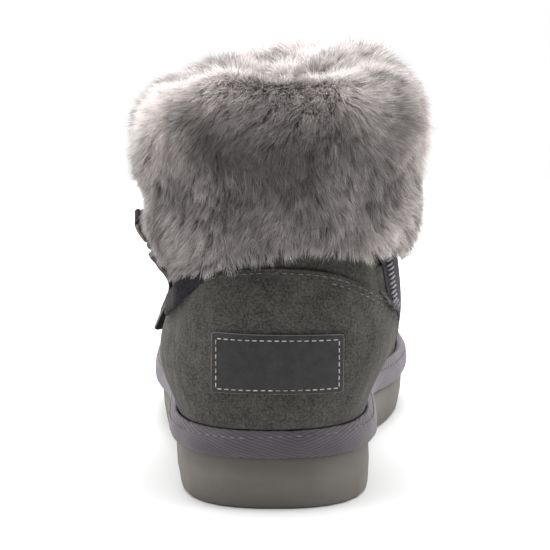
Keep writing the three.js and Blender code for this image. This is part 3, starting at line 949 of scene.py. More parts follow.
def stitch_pattern(length: float, width: float, height: float, blunt: float = 0.7) -> bpy.types.Object:
    """A single stitch: a short run of thread round the origin.

    Args:
        length: its length.
        width: its width.
        height: its height.
        blunt: 1 leaves its ends pointed, and less makes them blunter.

    Returns:
        The stitch.
    """
    bpy.ops.object.select_all(action="DESELECT")
    bpy.ops.mesh.primitive_uv_sphere_add(segments=8, ring_count=6, radius=0.5, rotation=(0, math.pi / 2, 0))
    stitch = bpy.context.active_object
    stitch.scale = (height, width, length)
    bpy.ops.object.transform_apply(location=True, rotation=True, scale=True)
    places = corners(stitch)
    half = length / 2
    places[:, 0] = np.sign(places[:, 0]) * half * (np.abs(places[:, 0]) / half) ** blunt
    move_corners(stitch, places)
    return stitch


# A ribbon's section: its corners' radius and its waist as shares of the thickness, over how many
# steps its ends are rounded and how much, and which sides of the section are the cut ones.
RIBBON_CORNER = 0.3
RIBBON_WAIST = 0.9
RIBBON_END_STEPS = 2.0
RIBBON_END_SHARE = 0.75
RIBBON_CUT_SIDES = (3, 8)


def ribbon(name: str, line: np.ndarray, broad: np.ndarray, thin: np.ndarray, size: tuple[float, float],
           finishes: tuple[bpy.types.Material, bpy.types.Material]) -> bpy.types.Object:
    """A flat strip with soft corners and rounded ends along a line.

    Args:
        name: the new object's name.
        line: its middle.
        broad: direction of its width at each point.
        thin: direction of its thickness at each point.
        size: its width and thickness.
        finishes: of its broad sides and of its cut edges.

    Returns:
        The strip.
    """
    half, deep, soft = size[0] / 2, size[1] / 2, RIBBON_CORNER * size[1]
    waist = deep * RIBBON_WAIST
    section = [(-half + soft, -deep), (0, -waist), (half - soft, -deep), (half, -deep + soft),
               (half, deep - soft), (half - soft, deep), (0, waist), (-half + soft, deep),
               (-half, deep - soft), (-half, -deep + soft)]
    rings = np.array([[centre + b * x + t * y for x, y in section]
                      for centre, b, t in zip(line, broad, thin)])
    from_end = np.minimum(np.arange(len(line)), np.arange(len(line))[::-1])
    rounding = (1 - np.clip(from_end / RIBBON_END_STEPS, 0, 1)) ** 2 * RIBBON_END_SHARE
    rings = line[:, None] + (rings - line[:, None]) * np.sqrt(1 - rounding)[:, None, None]
    count = len(section)
    faces = [(r * count + k, r * count + (k + 1) % count, (r + 1) * count + (k + 1) % count,
              (r + 1) * count + k) for r in range(len(line) - 1) for k in range(count)]
    first = list(range(count))[::-1]
    last = [(len(line) - 1) * count + k for k in range(count)]
    strip = new_mesh(name, rings.reshape(-1, 3), [*faces, first, last])
    pick(strip)
    bpy.ops.object.mode_set(mode="EDIT")
    bpy.ops.mesh.select_all(action="SELECT")
    bpy.ops.mesh.normals_make_consistent(inside=False)
    bpy.ops.object.mode_set(mode="OBJECT")
    for finish in finishes:
        strip.data.materials.append(finish)
    for index, polygon in enumerate(strip.data.polygons):
        is_end = index >= len(faces)
        polygon.material_index = 1 if is_end or index % count in RIBBON_CUT_SIDES else 0
    return strip


@dataclass(frozen=True)
class Seam:
    """A row of stitches along a line on a skin."""

    name: str
    pitch: float = 3.2 * MM
    length: float = 2.2 * MM
    width: float = 0.55 * MM
    height: float = 0.5 * MM
    stand: float = 0.12 * MM

    def sew(self, skin: Skin, lines: Sequence[np.ndarray],
            material: bpy.types.Material) -> bpy.types.Object:
        """Makes the stitches.

        Args:
            skin: the surface that they lie on.
            lines: the lines that they follow.
            material: the thread.

        Returns:
            One mesh with all of them.
        """
        at, along = [], []
        for line in lines:
            count = max(int(round(line_length(line) / self.pitch)), 2)
            fine = share_out(line, 2 * count + 1)
            at.append(fine[1::2])
            along.append(fine[2::2] - fine[:-1:2])
        places, normals = skin.nearest(np.concatenate(at))
        pattern = stitch_pattern(self.length, self.width, self.height)
        piece = copies(self.name, pattern, places + normals * self.stand, np.concatenate(along), normals)
        piece.data.materials.append(material)
        hand_over(piece, None)
        return piece


# ------------------------ studio


@dataclass(frozen=True)
class Softbox:
    """One large soft light: its place, its turn in degrees, its two sides and its watts."""

    name: str
    at: tuple[float, float, float]
    turn: tuple[float, float, float]
    size: tuple[float, float]
    power: float

    def build(self) -> None:
        """Hangs it up, out of the camera's sight."""
        data = bpy.data.lights.new(self.name, "AREA")
        data.shape = "RECTANGLE"
        data.size, data.size_y = self.size
        data.energy = self.power
        lamp = bpy.data.objects.new(self.name, data)
        lamp.location = self.at
        lamp.rotation_euler = [math.radians(angle) for angle in self.turn]
        lamp.visible_camera = False
        bpy.context.scene.collection.objects.link(lamp)


@dataclass
class Studio:
    """Camera, floor and soft light."""

    behind: float = 1.0862
    above: float = 0.27596
    down: float = math.radians(9.789)
    lens: float = 197.25
    sensor: float = 36.0
    far_clip: float = 50.0
    floor_side: float = 1.5
    light_from_around: float = 0.32
    white_around: float = 1.0
    softboxes: tuple = (
        Softbox("top_light", (0.0, 0.15, 1.5), (0, 0, 0), (1.9, 1.9), 64),
        Softbox("inner_side_light", (1.25, 0.15, 0.55), (0, 82, 0), (1.1, 1.5), 14),
        Softbox("outer_side_light", (-1.25, 0.1, 0.55), (0, -82, 0), (1.1, 1.5), 13),
        Softbox("back_light", (0.0, 1.5, 0.7), (-80, 0, 0), (2.6, 1.3), 18),
    )

    def build(self) -> None:
        """Makes camera, floor, surroundings and lights."""
        self._camera()
        self._floor()
        self._world()
        for softbox in self.softboxes:
            softbox.build()

    def _camera(self) -> None:
        """The camera, straight behind the heel and looking a little down."""
        data = bpy.data.cameras.new("camera")
        data.lens = self.lens
        data.sensor_width = self.sensor
        data.clip_end = self.far_clip
        camera = bpy.data.objects.new("camera", data)
        camera.location = HEEL + np.array([0, -self.behind, self.above])
        camera.rotation_euler = (math.pi / 2 - self.down, 0, 0)
        bpy.context.scene.collection.objects.link(camera)
        bpy.context.scene.camera = camera

    def _floor(self) -> None:
        """A wide pale floor."""
        bpy.ops.object.select_all(action="DESELECT")
        bpy.ops.mesh.primitive_plane_add(size=self.floor_side)
        floor = bpy.context.active_object
        floor.name = "floor"
        floor.data.materials.append(FloorPaper().material())

    def _world(self) -> None:
        """Surroundings that look white and light the boot weakly."""
        world = bpy.data.worlds.new("surroundings")
        bpy.context.scene.world = world
        world.use_nodes = True
        tree = world.node_tree
        tree.nodes.clear()
        path = tree.nodes.new("ShaderNodeLightPath")
        blend = tree.nodes.new("ShaderNodeMixShader")
        tree.links.new(path.outputs["Is Camera Ray"], blend.inputs[0])
        for entry, strength in ((1, self.light_from_around), (2, self.white_around)):
            glow = tree.nodes.new("ShaderNodeBackground")
            glow.inputs["Color"].default_value = (1, 1, 1, 1)
            glow.inputs["Strength"].default_value = strength
            tree.links.new(glow.outputs[0], blend.inputs[entry])
        output = tree.nodes.new("ShaderNodeOutputWorld")
        tree.links.new(blend.outputs[0], output.inputs["Surface"])
        bpy.context.scene.view_settings.view_transform = "Standard"


# ------------------------ suede bow


def route(*points: Sequence[float]) -> np.ndarray:
    """A strip's route, from millimetres at the heel into the frame."""
    return np.array([place(*point) for point in points])


@dataclass
class TieStrip:
    """One flat suede strip of the bow."""

    name: str
    points: np.ndarray
    far_end: str
    width: float = 6 * MM
    thick: float = 1.7 * MM
    steps: int = 64
    curl: float = 0.0
    curl_span: tuple = (-0.5, 1.0)

    def build(self, finish: bpy.types.Material, edge: bpy.types.Material,
              knot: Optional[bpy.types.Object]) -> None:
        """Args:
            finish: suede of its broad sides.
            edge: the paler cut edge.
            knot: the knot that goes with it, if any; not used.
        """
        line = spline(self.points, self.steps)
        tangents = unit(np.gradient(line, axis=0))
        broad = unit(np.cross(np.array([1.0, 0, 0]), tangents))
        lean = np.linspace(*self.curl_span, len(line))[:, None] * self.curl
        thin = unit(np.cross(tangents, broad))
        broad = unit(broad + thin * lean)
        thin = unit(np.cross(tangents, broad))
        strip = ribbon(self.name, line, broad, thin, (self.width, self.thick), (finish, edge))
        hand_over(strip, "tie_suede", self.name.replace("strip", "tie"))


@dataclass
class SuedeBow:
    """The bow on the outer side: a knot, two loops and two ends."""

    loop_back: np.ndarray = field(default_factory=lambda: route(
        (-50.2, 81.0, 90.0), (-51.4, 74.0, 93.0), (-52.6, 64.0, 97.4), (-52.9, 56.0, 100.6),
        (-52.6, 51.6, 102.2), (-51.4, 50.4, 102.5), (-50.3, 52.6, 101.8), (-49.9, 58.0, 99.8),
        (-49.2, 66.0, 96.6), (-47.9, 75.0, 92.4), (-47.0, 80.6, 89.6)))
    loop_front: np.ndarray = field(default_factory=lambda: route(
        (-49.2, 91.0, 89.0), (-48.2, 97.0, 91.0), (-45.6, 105.0, 93.6), (-42.2, 112.0, 95.6),
        (-39.8, 116.0, 96.8), (-38.3, 116.8, 97.0), (-38.4, 114.6, 96.4), (-41.2, 109.4, 94.8),
        (-44.4, 102.4, 92.6), (-46.4, 95.6, 90.2), (-46.8, 91.0, 88.6)))
    tail_back: np.ndarray = field(default_factory=lambda: route(
        (-48.6, 85.0, 82.9), (-47.0, 85.8, 79.2), (-43.6, 87.4, 75.4), (-41.2, 88.8, 71.4),
        (-40.9, 90.2, 67.0), (-42.2, 91.8, 61.6), (-44.0, 93.4, 56.4), (-46.2, 95.4, 50.2)))
    tail_front: np.ndarray = field(default_factory=lambda: route(
        (-48.2, 92.4, 84.2), (-46.4, 95.2, 79.8), (-42.8, 98.4, 75.8), (-40.0, 100.8, 71.2),
        (-40.6, 103.6, 66.0), (-42.4, 106.0, 60.6), (-44.4, 108.2, 55.4), (-45.2, 109.2, 52.8)))
    fold_depth: float = 0.28 * MM
    fold_slant: tuple = (1.5, 0.9)

    def build(self) -> bpy.types.Material:
        """Makes the knot, then the strips.

        Returns:
            The finish of the strips' broad sides.
        """
        # The bow's suede is darker than its own colour: painted shade, matched to the strap and tails that
        # lie in the shadow under the cuff.
        finish = Suede("tie_suede", dark=shade(15, 14, 18), light=shade(44, 41, 48)).material()
        edge = CutEdge("tie_edge", shade(138, 136, 128)).material()
        knot = self._knot(finish)
        TieStrip("strip_loop_back", self.loop_back, "object").build(finish, edge, knot)
        TieStrip("strip_loop_front", self.loop_front, "object").build(finish, edge, None)
        TieStrip("strip_tail_back", self.tail_back, "bare", curl=1.1).build(finish, edge, None)
        TieStrip("strip_tail_front", self.tail_front, "bare", curl=-0.3).build(finish, edge, None)
        return finish

    def _knot(self, finish: bpy.types.Material) -> bpy.types.Object:
        """The knot: a strip's width pulled into a pinched, folded lump.

        Args:
            finish: its suede.

        Returns:
            The knot.
        """
        knot = cad_copy("tie_knot", "knot")
        refine(knot, 2)
        displace(knot, self._folds)
        knot.data.materials.append(finish)
        hand_over(knot, "tie_suede", "tie_knot")
        return knot

    def _folds(self, places: np.ndarray) -> np.ndarray:
        """Slanting folds round the knot.

        Args:
            places: the knot's corners.

        Returns:
            How far each corner moves out.
        """
        low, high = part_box("tie_knot")
        away = (places - (np.array(low) + np.array(high)) / 2) / MM
        upward, forward = self.fold_slant
        return np.sin(away[:, 2] * upward + away[:, 1] * forward) * self.fold_depth


@dataclass
class TieStrap:
    """The flat strap of the bow, sewn on under the cuff and laid round the shaft to the knot.

    turn and height are its way round the shaft, in degrees from the heel and millimetres. It
    lies on the heel counter first, so it is lifted there, and comes down where the counter ends. Its very
    dark suede is partly painted shade, for the shadow under the cuff where it lies.
    """

    turn: tuple = (-18, -28, -38, -48, -60, -74, -88)
    height: tuple = (97, 90, 82.5, 76, 71, 75, 86)
    width: float = 7.5 * MM
    thick: float = 1.5 * MM
    lift: float = 0.9 * MM
    lift_ends: tuple = (50, 64)
    clear: float = 0.1 * MM
    points: int = 60
    every: int = 6
    soften: float = 5.0

    def build(self, shaft: Skin, finish: bpy.types.Material) -> None:
        """Makes the strap.

        Args:
            shaft: the suede that it lies on.
            finish: its suede.
        """
        share, known = np.linspace(0, 1, self.points), np.linspace(0, 1, len(self.turn))
        turn, height = (np.interp(share, known, row) for row in (self.turn, self.height))
        angle = np.radians(turn)
        out = np.stack([np.sin(angle), -np.cos(angle), np.zeros(self.points)], 1)
        line, normals = shaft.wrapped(SHAFT_AXIS + UP * height[:, None] * MM, out)
        index = np.arange(self.points)
        steps = np.abs(np.subtract.outer(index, index))
        thin = unit(np.exp(-(steps / self.soften) ** 2) @ normals)
        stand = self.thick / 2 + self.lift * (1 - ease(*self.lift_ends, -turn)) + self.clear
        line = spline(line[::self.every], self.points - 1) + thin * stand[:, None]
        broad = unit(np.cross(thin, np.gradient(line, axis=0)))
        strap = ribbon("tie_strap", line, broad, thin, (self.width, self.thick), (finish, finish))
        hand_over(strap, "tie_suede")


# ------------------------ suede body


@dataclass(frozen=True)
class HeelPinch:
    """How the heel's sides draw in where the suede meets the rand.

    share is how much narrower the suede gets. It fades out between two heights and between two
    lengths from the heel, in millimetres.
    """

    share: float = 0.055
    heights: tuple = (33, 58)
    lengths: tuple = (60, 105)

    def draw_in(self, piece: bpy.types.Object) -> None:
        """Draws in a suede piece that isn't refined yet.

        Args:
            piece: the suede piece.
        """
        places = corners(piece)
        _, y, z = in_mm(places)
        low = (1 - ease(*self.heights, z)) * (1 - ease(*self.lengths, y))
        places[:, 0] -= (places[:, 0] - HEEL[0]) * low * self.share
        move_corners(piece, places)


@dataclass
class Upper:
    """The suede foot and shaft with its wool inside.

    The bands are in millimetres: over the ankle's front by length and height, and over the
    heel's sides by distance from the middle, length and height.
    """

    fold_depth: float = 1.3 * MM
    front_lengths: tuple = (70, 118, 168, 205)
    front_heights: tuple = (44, 62, 104, 118)
    side_widths: tuple = (20, 44)
    side_lengths: tuple = (60, 110)
    side_heights: tuple = (30, 42)
    drift: float = 34 * MM
    drift_share: float = 0.55
    look_out: float = 0.5 * MM

    def build(self, suede: bpy.types.Material) -> bpy.types.Object:
        """Makes the upper.

        Args:
            suede: the outside's finish.

        Returns:
            The piece.
        """
        piece = cad_copy("upper", "upper_suede")
        HeelPinch().draw_in(piece)
        refine(piece, 2)
        displace(piece, self._folds)
        skin = Skin(piece)
        faces = piece.data.polygons
        centres = np.array([face.center for face in faces])
        normals = np.array([face.normal for face in faces])
        inside = skin.covers(centres + normals * self.look_out, normals)
        lining = Felt("wool_lining", shade(120, 114, 115), shade(168, 161, 160))
        piece.data.materials.append(suede)
        piece.data.materials.append(lining.material())
        faces.foreach_set("material_index", inside.astype(np.int32))
        hand_over(piece, "suede", "upper")
        return piece

    def _folds(self, places: np.ndarray) -> np.ndarray:
        """Soft wrinkles across the ankle's front and down the sides of the heel.

        Args:
            places: the suede's corners.

        Returns:
            How far each corner moves out.
        """
        x, y, z = in_mm(places)
        front = band(y, self.front_lengths) * band(z, self.front_heights)
        across = np.sin((z - 0.32 * y) * 0.42 + 0.9 * np.sin(x * 0.07)) * 0.5
        sides = ease(*self.side_widths, np.abs(x)) * (1 - ease(*self.side_lengths, y))
        sides = sides * ease(*self.side_heights, z)
        down = np.sin(y * 0.24 + 0.5 * np.sin(z * 0.12)) * 0.2
        drift = smooth_noise(places, self.drift) * self.drift_share
        return (front * across + sides * down + drift) * self.fold_depth


@dataclass
class HeelCounter:
    """The suede overlay round the heel.

    One row of stitches follows its top edge, and a second one below it starts further in. Both
    run towards the inner side, from first_from and second_from on.
    """

    rows_below_edge: tuple = (1.6 * MM, 3.8 * MM)
    first_from: float = -30 * MM
    second_from: float = 18 * MM
    edge_round: float = 0.35 * MM
    edge_above: float = 36.0
    edge_slope: float = 0.45
    middle: float = 62.0
    slack: float = 0.2 * MM
    points: int = 60
    seam: Seam = Seam("counter_stitches", 3.0 * MM, 1.9 * MM, 0.45 * MM)

    def build(self, suede: bpy.types.Material, thread: bpy.types.Material) -> bpy.types.Object:
        """Makes the counter and sews its top edge.

        Args:
            suede: its finish.
            thread: finish of the stitches.

        Returns:
            The counter.
        """
        piece = cad_copy("heel_counter", "heel_counter_suede")
        HeelPinch().draw_in(piece)
        rim = self._rim(piece)
        soften_edges(piece, self.edge_round, 2, SHARP)
        refine(piece, 2)
        piece.data.materials.append(suede)
        hand_over(piece, "suede", "heel_counter")
        first, second = (rim[2:-2] - UP * drop for drop in self.rows_below_edge)
        first = first[first[:, 0] > self.first_from]
        second = second[second[:, 0] > self.second_from]
        self.seam.sew(Skin(piece), [first, second], thread)
        return piece

    def _rim(self, piece: bpy.types.Object) -> np.ndarray:
        """The outer line of the top edge, from the outer side round to the inner side.

        Args:
            piece: the counter, before it is refined.

        Returns:
            The line.
        """
        rim = upward_corners(piece, self.edge_slope, self.edge_above)
        middle = place(0, self.middle, 0)
        rim = rim[round_order(rim, middle)]
        away = np.linalg.norm((rim - middle)[:, :2], axis=1)
        outer = [k for k in range(len(rim)) if away[k] >= away[max(k - 1, 0):k + 2].max() - self.slack]
        return share_out(rim[outer], self.points)


@dataclass
class HeelLabel:
    """The bare leather label on the heel, stitched all round."""

    corner: float = 1.3 * MM
    corner_box: tuple = (1.6 * MM, 1.2 * MM)
    short: float = 2.0 * MM
    edge_round: float = 0.5 * MM
    broad_side: float = 0.8
    inset: float = 2.1 * MM
    top_extra: float = 0.3 * MM
    narrow: float = 0.974
    points: int = 40
    behind: float = 50 * MM
    seam: Seam = Seam("label_stitches", 2.75 * MM, 1.85 * MM, 0.46 * MM)

    def build(self, leather: bpy.types.Material, edge: bpy.types.Material,
              thread: bpy.types.Material) -> None:
        """Makes the label and its stitches.

        Args:
            leather: its finish.
            edge: finish of its cut edge, paler also as a painted highlight along the label's rim.
            thread: finish of the stitches.
        """
        piece = cad_copy("heel_patch", "heel_label")
        places = corners(piece)
        right = places[:, 0].max()
        places[:, 0] = right + (places[:, 0] - right) * self.narrow
        move_corners(piece, places)
        low, high = places.min(0), places.max(0)
        self._round_corners(piece)
        soften_edges(piece, self.edge_round, 2, SHARP)
        refine(piece, 2)
        piece.data.materials.append(leather)
        piece.data.materials.append(edge)
        # Faces off the broad side take the paler edge, partly a painted highlight along the rim.
        for face in piece.data.polygons:
            face.material_index = 0 if abs(face.normal.y) > self.broad_side else 1
        hand_over(piece, "label_leather", "heel_patch")
        skin = Skin(piece)
        self.seam.sew(skin, self._stitch_lines(skin, low, high), thread)

    def _stitch_lines(self, skin: Skin, low: np.ndarray, high: np.ndarray) -> list[np.ndarray]:
        """The four lines that the stitches follow.

        Args:
            skin: the label's surface.
            low: the lowest corner of the label's box.
            high: its highest corner.

        Returns:
            One line along each side of the label.
        """
        left, right = low[0] + self.inset, high[0] - self.inset
        bottom, top = low[2] + self.inset, high[2] - self.inset - self.top_extra
        turns = [(left, bottom), (right, bottom), (right, top), (left, top), (left, bottom)]
        share = np.linspace(0, 1, self.points)
        back = np.full(self.points, low[1] - self.behind)
        lines = []
        for (x0, z0), (x1, z1) in zip(turns, turns[1:]):
            starts = np.stack([x0 + (x1 - x0) * share, back, z0 + (z1 - z0) * share], 1)
            lines.append(skin.seen(starts, (0, 1, 0)))
        return lines

    def _round_corners(self, piece: bpy.types.Object) -> None:
        """Rounds the label's four corners by bevelling their short edges.

        Args:
            piece: the label.
        """
        places = corners(piece)
        low, high = places.min(0), places.max(0)
        mesh = piece.data
        mesh.attributes.new("bevel_weight_edge", "FLOAT", "EDGE")
        weights = mesh.attributes["bevel_weight_edge"].data
        for edge in mesh.edges:
            a, b = (places[v] for v in edge.vertices)
            short = np.linalg.norm(a - b) < self.short
            outer_x = min(abs(a[0] - low[0]), abs(a[0] - high[0])) < self.corner_box[0]
            outer_z = min(abs(a[2] - low[2]), abs(a[2] - high[2])) < self.corner_box[1]
            weights[edge.index].value = 1.0 if short and outer_x and outer_z else 0.0
        modify(piece, "BEVEL", width=self.corner, segments=4, limit_method="WEIGHT")


@dataclass
class Rand:
    """The binding folded over the joint of upper and sole.

    Its outer face rolls out by roll, and above top_from of its height it closes up to the
    suede, unless that is further off than near_ends.
    """

    stitch_drop: float = 1.5 * MM
    stitch_out: float = 2.6 * MM
    seam: Seam = Seam("rand_stitches", 3.6 * MM, 2.0 * MM, 0.5 * MM)
    roll: float = 1.3 * MM
    outer_ends: tuple = (0.2, 0.6)
    top_from: tuple = (0.72, 0.95)
    near_ends: tuple = (3.6 * MM, 5.6 * MM)
    clear: float = 0.05 * MM
    most: float = 3.0 * MM
    pucker: float = 9 * MM
    pucker_depth: float = 0.35 * MM
    upward: float = 0.7
    middle: float = 135.0
    merge: float = 3.0 * MM
    points: int = 240

    def build(self, binding: bpy.types.Material, thread: bpy.types.Material, suede: Skin) -> None:
        """Makes the rand and the row of stitches under its top edge.

        Args:
            binding: its finish.
            thread: finish of the stitches.
            suede: the suede that its top edge is sewn to.
        """
        piece = cad_copy("rand", "rand_binding")
        ring = self._top_line(piece)
        refine(piece, 2)
        displace(piece, self._puckers)
        self._close_up(piece, suede)
        self._lay_out(piece, ring)
        piece.data.materials.append(binding)
        hand_over(piece, "rand_leather", "rand")
        away = unit(np.cross(np.gradient(ring, axis=0), UP))
        line = ring - UP * self.stitch_drop + away * self.stitch_out
        self.seam.sew(Skin(piece), [line], thread)

    def _top_line(self, piece: bpy.types.Object) -> np.ndarray:
        """The closed line along the rand's upper edge.

        Args:
            piece: the rand, before it is refined.

        Returns:
            The line.
        """
        ring = upward_corners(piece, self.upward)
        ring = ring[round_order(ring, place(0, self.middle, 0))]
        merged = [ring[0]]
        for point in ring[1:]:
            if np.linalg.norm(point - merged[-1]) > self.merge:
                merged.append(point)
        merged.append(merged[0])
        return share_out(np.array(merged), self.points)

    def _puckers(self, places: np.ndarray) -> np.ndarray:
        """Small gathers, higher than they are long."""
        return smooth_noise(places * np.array([1, 1, 0.4]), self.pucker) * self.pucker_depth

    def _close_up(self, piece: bpy.types.Object, suede: Skin) -> None:
        """Rolls the rand's outer face out and draws its top edge in to the suede.

        Args:
            piece: the rand.
            suede: the suede's surface.
        """
        places, normals = corners(piece), outward(piece)
        low, high = (corner.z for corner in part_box("rand"))
        level = (places[:, 2] - low) / (high - low)
        outer = np.linalg.norm(normals[:, :2], axis=1)
        onto, facing = suede.nearest(places)
        away = ((places - onto) * facing).sum(1)
        out = outer * ease(*self.outer_ends, (normals * unit(facing * LEVEL)).sum(1))
        belly = np.sin(np.clip(level, 0, 1) * math.pi)
        places = places + normals * (self.roll * belly * out)[:, None]
        near = ease(*self.top_from, level) * (1 - ease(*self.near_ends, away))
        gap = np.clip(away - self.clear, 0, self.most)
        places = places - facing * (gap * near)[:, None]
        move_corners(piece, places)

    @staticmethod
    def _lay_out(piece: bpy.types.Object, ring: np.ndarray) -> None:
        """Stores each corner's distance from the heel along the rand and its height, for the ribs.

        Args:
            piece: the rand.
            ring: the line along its upper edge.
        """
        tree = KDTree(len(ring))
        for index, point in enumerate(ring):
            tree.insert((point[0], point[1], 0), index)
        tree.balance()
        step = line_length(ring) / (len(ring) - 1)
        places = corners(piece)
        along = np.empty(len(places))
        for index, point in enumerate(places):
            _, nearest, _ = tree.find((point[0], point[1], 0))
            nearest = min(max(nearest, 1), len(ring) - 2)
            direction = unit(ring[nearest + 1] - ring[nearest - 1])
            past = (point - ring[nearest]) @ direction
            along[index] = abs((nearest - len(ring) / 2) * step + past)
        for name, values in ((RIB_ALONG, along), (RIB_HEIGHT, places[:, 2])):
            layer = piece.data.attributes.new(name, "FLOAT", "POINT")
            layer.data.foreach_set("value", values.astype(np.float32))


@dataclass
class Outsole:
    """The light wedge sole, whose heel widens towards the floor."""

    flare: float = 0.05
    flare_ends: tuple = (70, 110)
    edge_round: float = 0.8 * MM
    sharp: float = 40.0

    def build(self, foam: bpy.types.Material) -> None:
        """Makes the sole.

        Args:
            foam: its finish.
        """
        piece = cad_copy("outsole", "outsole_foam")
        places = corners(piece)
        heel = 1 - ease(*self.flare_ends, in_mm(places)[1])
        low = 1 - ease(0, 1, places[:, 2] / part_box("outsole")[1].z)
        places[:, 0] += (places[:, 0] - HEEL[0]) * heel * low * self.flare
        move_corners(piece, places)
        soften_edges(piece, self.edge_round, 3, self.sharp)
        pick(piece)
        bpy.ops.object.shade_smooth_by_angle(angle=math.radians(self.sharp))
        piece.data.materials.append(foam)
        hand_over(piece, "sole_foam", "outsole")


@dataclass
class Insole:
    """The wool-covered sock inside."""

    lump: float = 6 * MM
    lump_depth: float = 0.5 * MM

    def build(self) -> None:
        """Makes the insole."""
        piece = cad_copy("insole", "insole_wool")
        refine(piece, 2)
        displace(piece, self._lumps)
        wool = Felt("insole_wool", shade(140, 133, 132), shade(188, 180, 178))
        piece.data.materials.append(wool.material())
        hand_over(piece, "wool_lining", "insole")

    def _lumps(self, places: np.ndarray) -> np.ndarray:
        """The unevenness of its wool."""
        return smooth_noise(places, self.lump) * self.lump_depth


# ------------------------ side zip


@dataclass
class SideZip:
    """The zip on the inner side: woven tape, single teeth and the suede welt beside them.

    Tape and teeth run on upwards under the fur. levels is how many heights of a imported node
    are looked at, and each pair of margins keeps them off its foot and its head.
    """

    pitch: float = 1.7 * MM
    tooth: tuple = (4.3 * MM, 0.75 * MM, 1.2 * MM)
    tooth_round: float = 0.35 * MM
    head_ends: tuple = (0.2 * MM, 1.6 * MM)
    neck: float = 0.75
    head: float = 0.45
    stand: float = 0.45 * MM
    apart: float = 0.25 * MM
    first_tooth: float = 0.3
    back: float = 5.0 * MM
    run_on: float = 6 * MM
    tape_round: float = 0.2 * MM
    tape_top: float = 1 * MM
    levels: int = 12
    tape_margins: tuple = (1 * MM, 1 * MM)
    teeth_margins: tuple = (1.8 * MM, 0.3 * MM)
    welt_margins: tuple = (10 * MM, 0.1 * MM)
    welt: tuple = (4.6 * MM, 1.0 * MM)
    welt_tilt: float = 0.3
    welt_back: float = 0.3
    welt_stand: float = 0.2
    welt_steps: int = 40

    def build(self, shaft: Skin, suede: bpy.types.Material) -> None:
        """Makes tape, teeth and the suede welt beside them.

        Args:
            shaft: the suede round the zip.
            suede: finish of the welt.
        """
        rows = self._levels("zip_tape", self.tape_margins)
        upward = unit(rows[-1].mean(0) - rows[-3].mean(0))
        tape = self._tape(upward)
        self._teeth(Skin(tape), upward)
        self._welt(shaft, suede)

    def _tape(self, upward: np.ndarray) -> bpy.types.Object:
        """The woven tape, run on in the direction given.

        Args:
            upward: the direction.

        Returns:
            The tape.
        """
        tape = cad_copy("zip_tape", "zip_tape_cloth")
        places = corners(tape)
        top = places[:, 2] > places[:, 2].max() - self.tape_top
        places[top] += upward * self.run_on
        move_corners(tape, places)
        soften_edges(tape, self.tape_round, 2, SHARP)
        refine(tape, 2)
        tape.data.materials.append(ZipCloth().material())
        hand_over(tape, "zip_cloth", "zip_tape")
        return tape

    def _teeth(self, tape: Skin, upward: np.ndarray) -> None:
        """The row of teeth, which point to either side in turn.

        Args:
            tape: what they lie on.
            upward: the direction in which they run on under the fur.
        """
        rows = self._levels("zip_teeth", self.teeth_margins)
        line = np.array([(row.min(0) + row.max(0)) / 2 for row in rows]) - np.array([0, self.back, 0])
        line = np.vstack([line, line[-1] + upward * self.run_on])
        count = int(line_length(line) / self.pitch)
        places, normals = tape.nearest(share_out(line, count, self.first_tooth))
        side = np.where(np.arange(count) % 2 == 0, 1.0, -1.0)[:, None]
        across = unit(np.cross(np.gradient(places, axis=0), normals)) * side
        at = places + normals * self.stand + across * self.apart
        teeth = copies("zip_teeth_row", self._tooth(), at, across, normals)
        teeth.data.materials.append(Moulded("zip_plastic", shade(128, 127, 132)).material())
        hand_over(teeth, "zip_plastic", "zip_teeth")

    def _welt(self, shaft: Skin, suede: bpy.types.Material) -> None:
        """The folded suede edge along the heel side of the tape.

        Args:
            shaft: the suede that it lies on.
            suede: its finish.
        """
        rows = self._levels("zip_tape", self.welt_margins)
        rear = np.array([row[row[:, 1].argmin()] for row in rows])
        rear = rear - np.array([0, self.welt[0] * self.welt_back, 0])
        line, normals = shaft.nearest(spline(rear, self.welt_steps))
        line = line + normals * self.welt[1] * self.welt_stand
        forward = unit(np.cross(np.gradient(line, axis=0), normals))
        forward = forward * np.sign(forward[:, 1:2])
        broad = unit(forward + normals * self.welt_tilt)
        thin = unit(np.cross(broad, np.gradient(line, axis=0)))
        piece = ribbon("zip_welt", line, broad, thin, self.welt, (suede, suede))
        refine(piece, 1)
        hand_over(piece, "suede")

    def _tooth(self) -> bpy.types.Object:
        """One tooth: a rounded bar with a thicker head.

        Returns:
            The tooth, round the origin.
        """
        bpy.ops.object.select_all(action="DESELECT")
        bpy.ops.mesh.primitive_cube_add(size=1)
        tooth = bpy.context.active_object
        tooth.scale = self.tooth
        bpy.ops.object.transform_apply(location=True, rotation=True, scale=True)
        modify(tooth, "BEVEL", width=self.tooth_round, segments=2, limit_method="NONE")
        places = corners(tooth)
        places[:, 1] *= self.neck + self.head * ease(*self.head_ends, places[:, 0])
        move_corners(tooth, places)
        return tooth

    def _levels(self, name: str, margins: tuple[float, float]) -> list[np.ndarray]:
        """Where a node's edges cross some heights.

        Args:
            name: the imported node.
            margins: how far above its lowest point the first height is, and how far below its
                highest point the last one.

        Returns:
            The crossings at each height.
        """
        node = frame["nodes"][name]
        places = corners(node)
        low, high = places[:, 2].min(), places[:, 2].max()
        edges = np.array([edge.vertices for edge in node.data.edges])
        first, second = places[edges[:, 0]], places[edges[:, 1]]
        rows = []
        for height in np.linspace(low + margins[0], high - margins[1], self.levels):
            crossing = (first[:, 2] - height) * (second[:, 2] - height) < 0
            a, b = first[crossing], second[crossing]
            share = ((height - a[:, 2]) / (b[:, 2] - a[:, 2]))[:, None]
            rows.append(a + (b - a) * share)
        return rows


# ------------------------ fur


class FurSide(Enum):
    """The parts of the pile, each a piece of its own."""

    HEEL_INNER = "heel_inner"
    HEEL_OUTER = "heel_outer"
    INNER = "inner"
    OUTER = "outer"
    FRONT = "front"
    LINING = "lining"


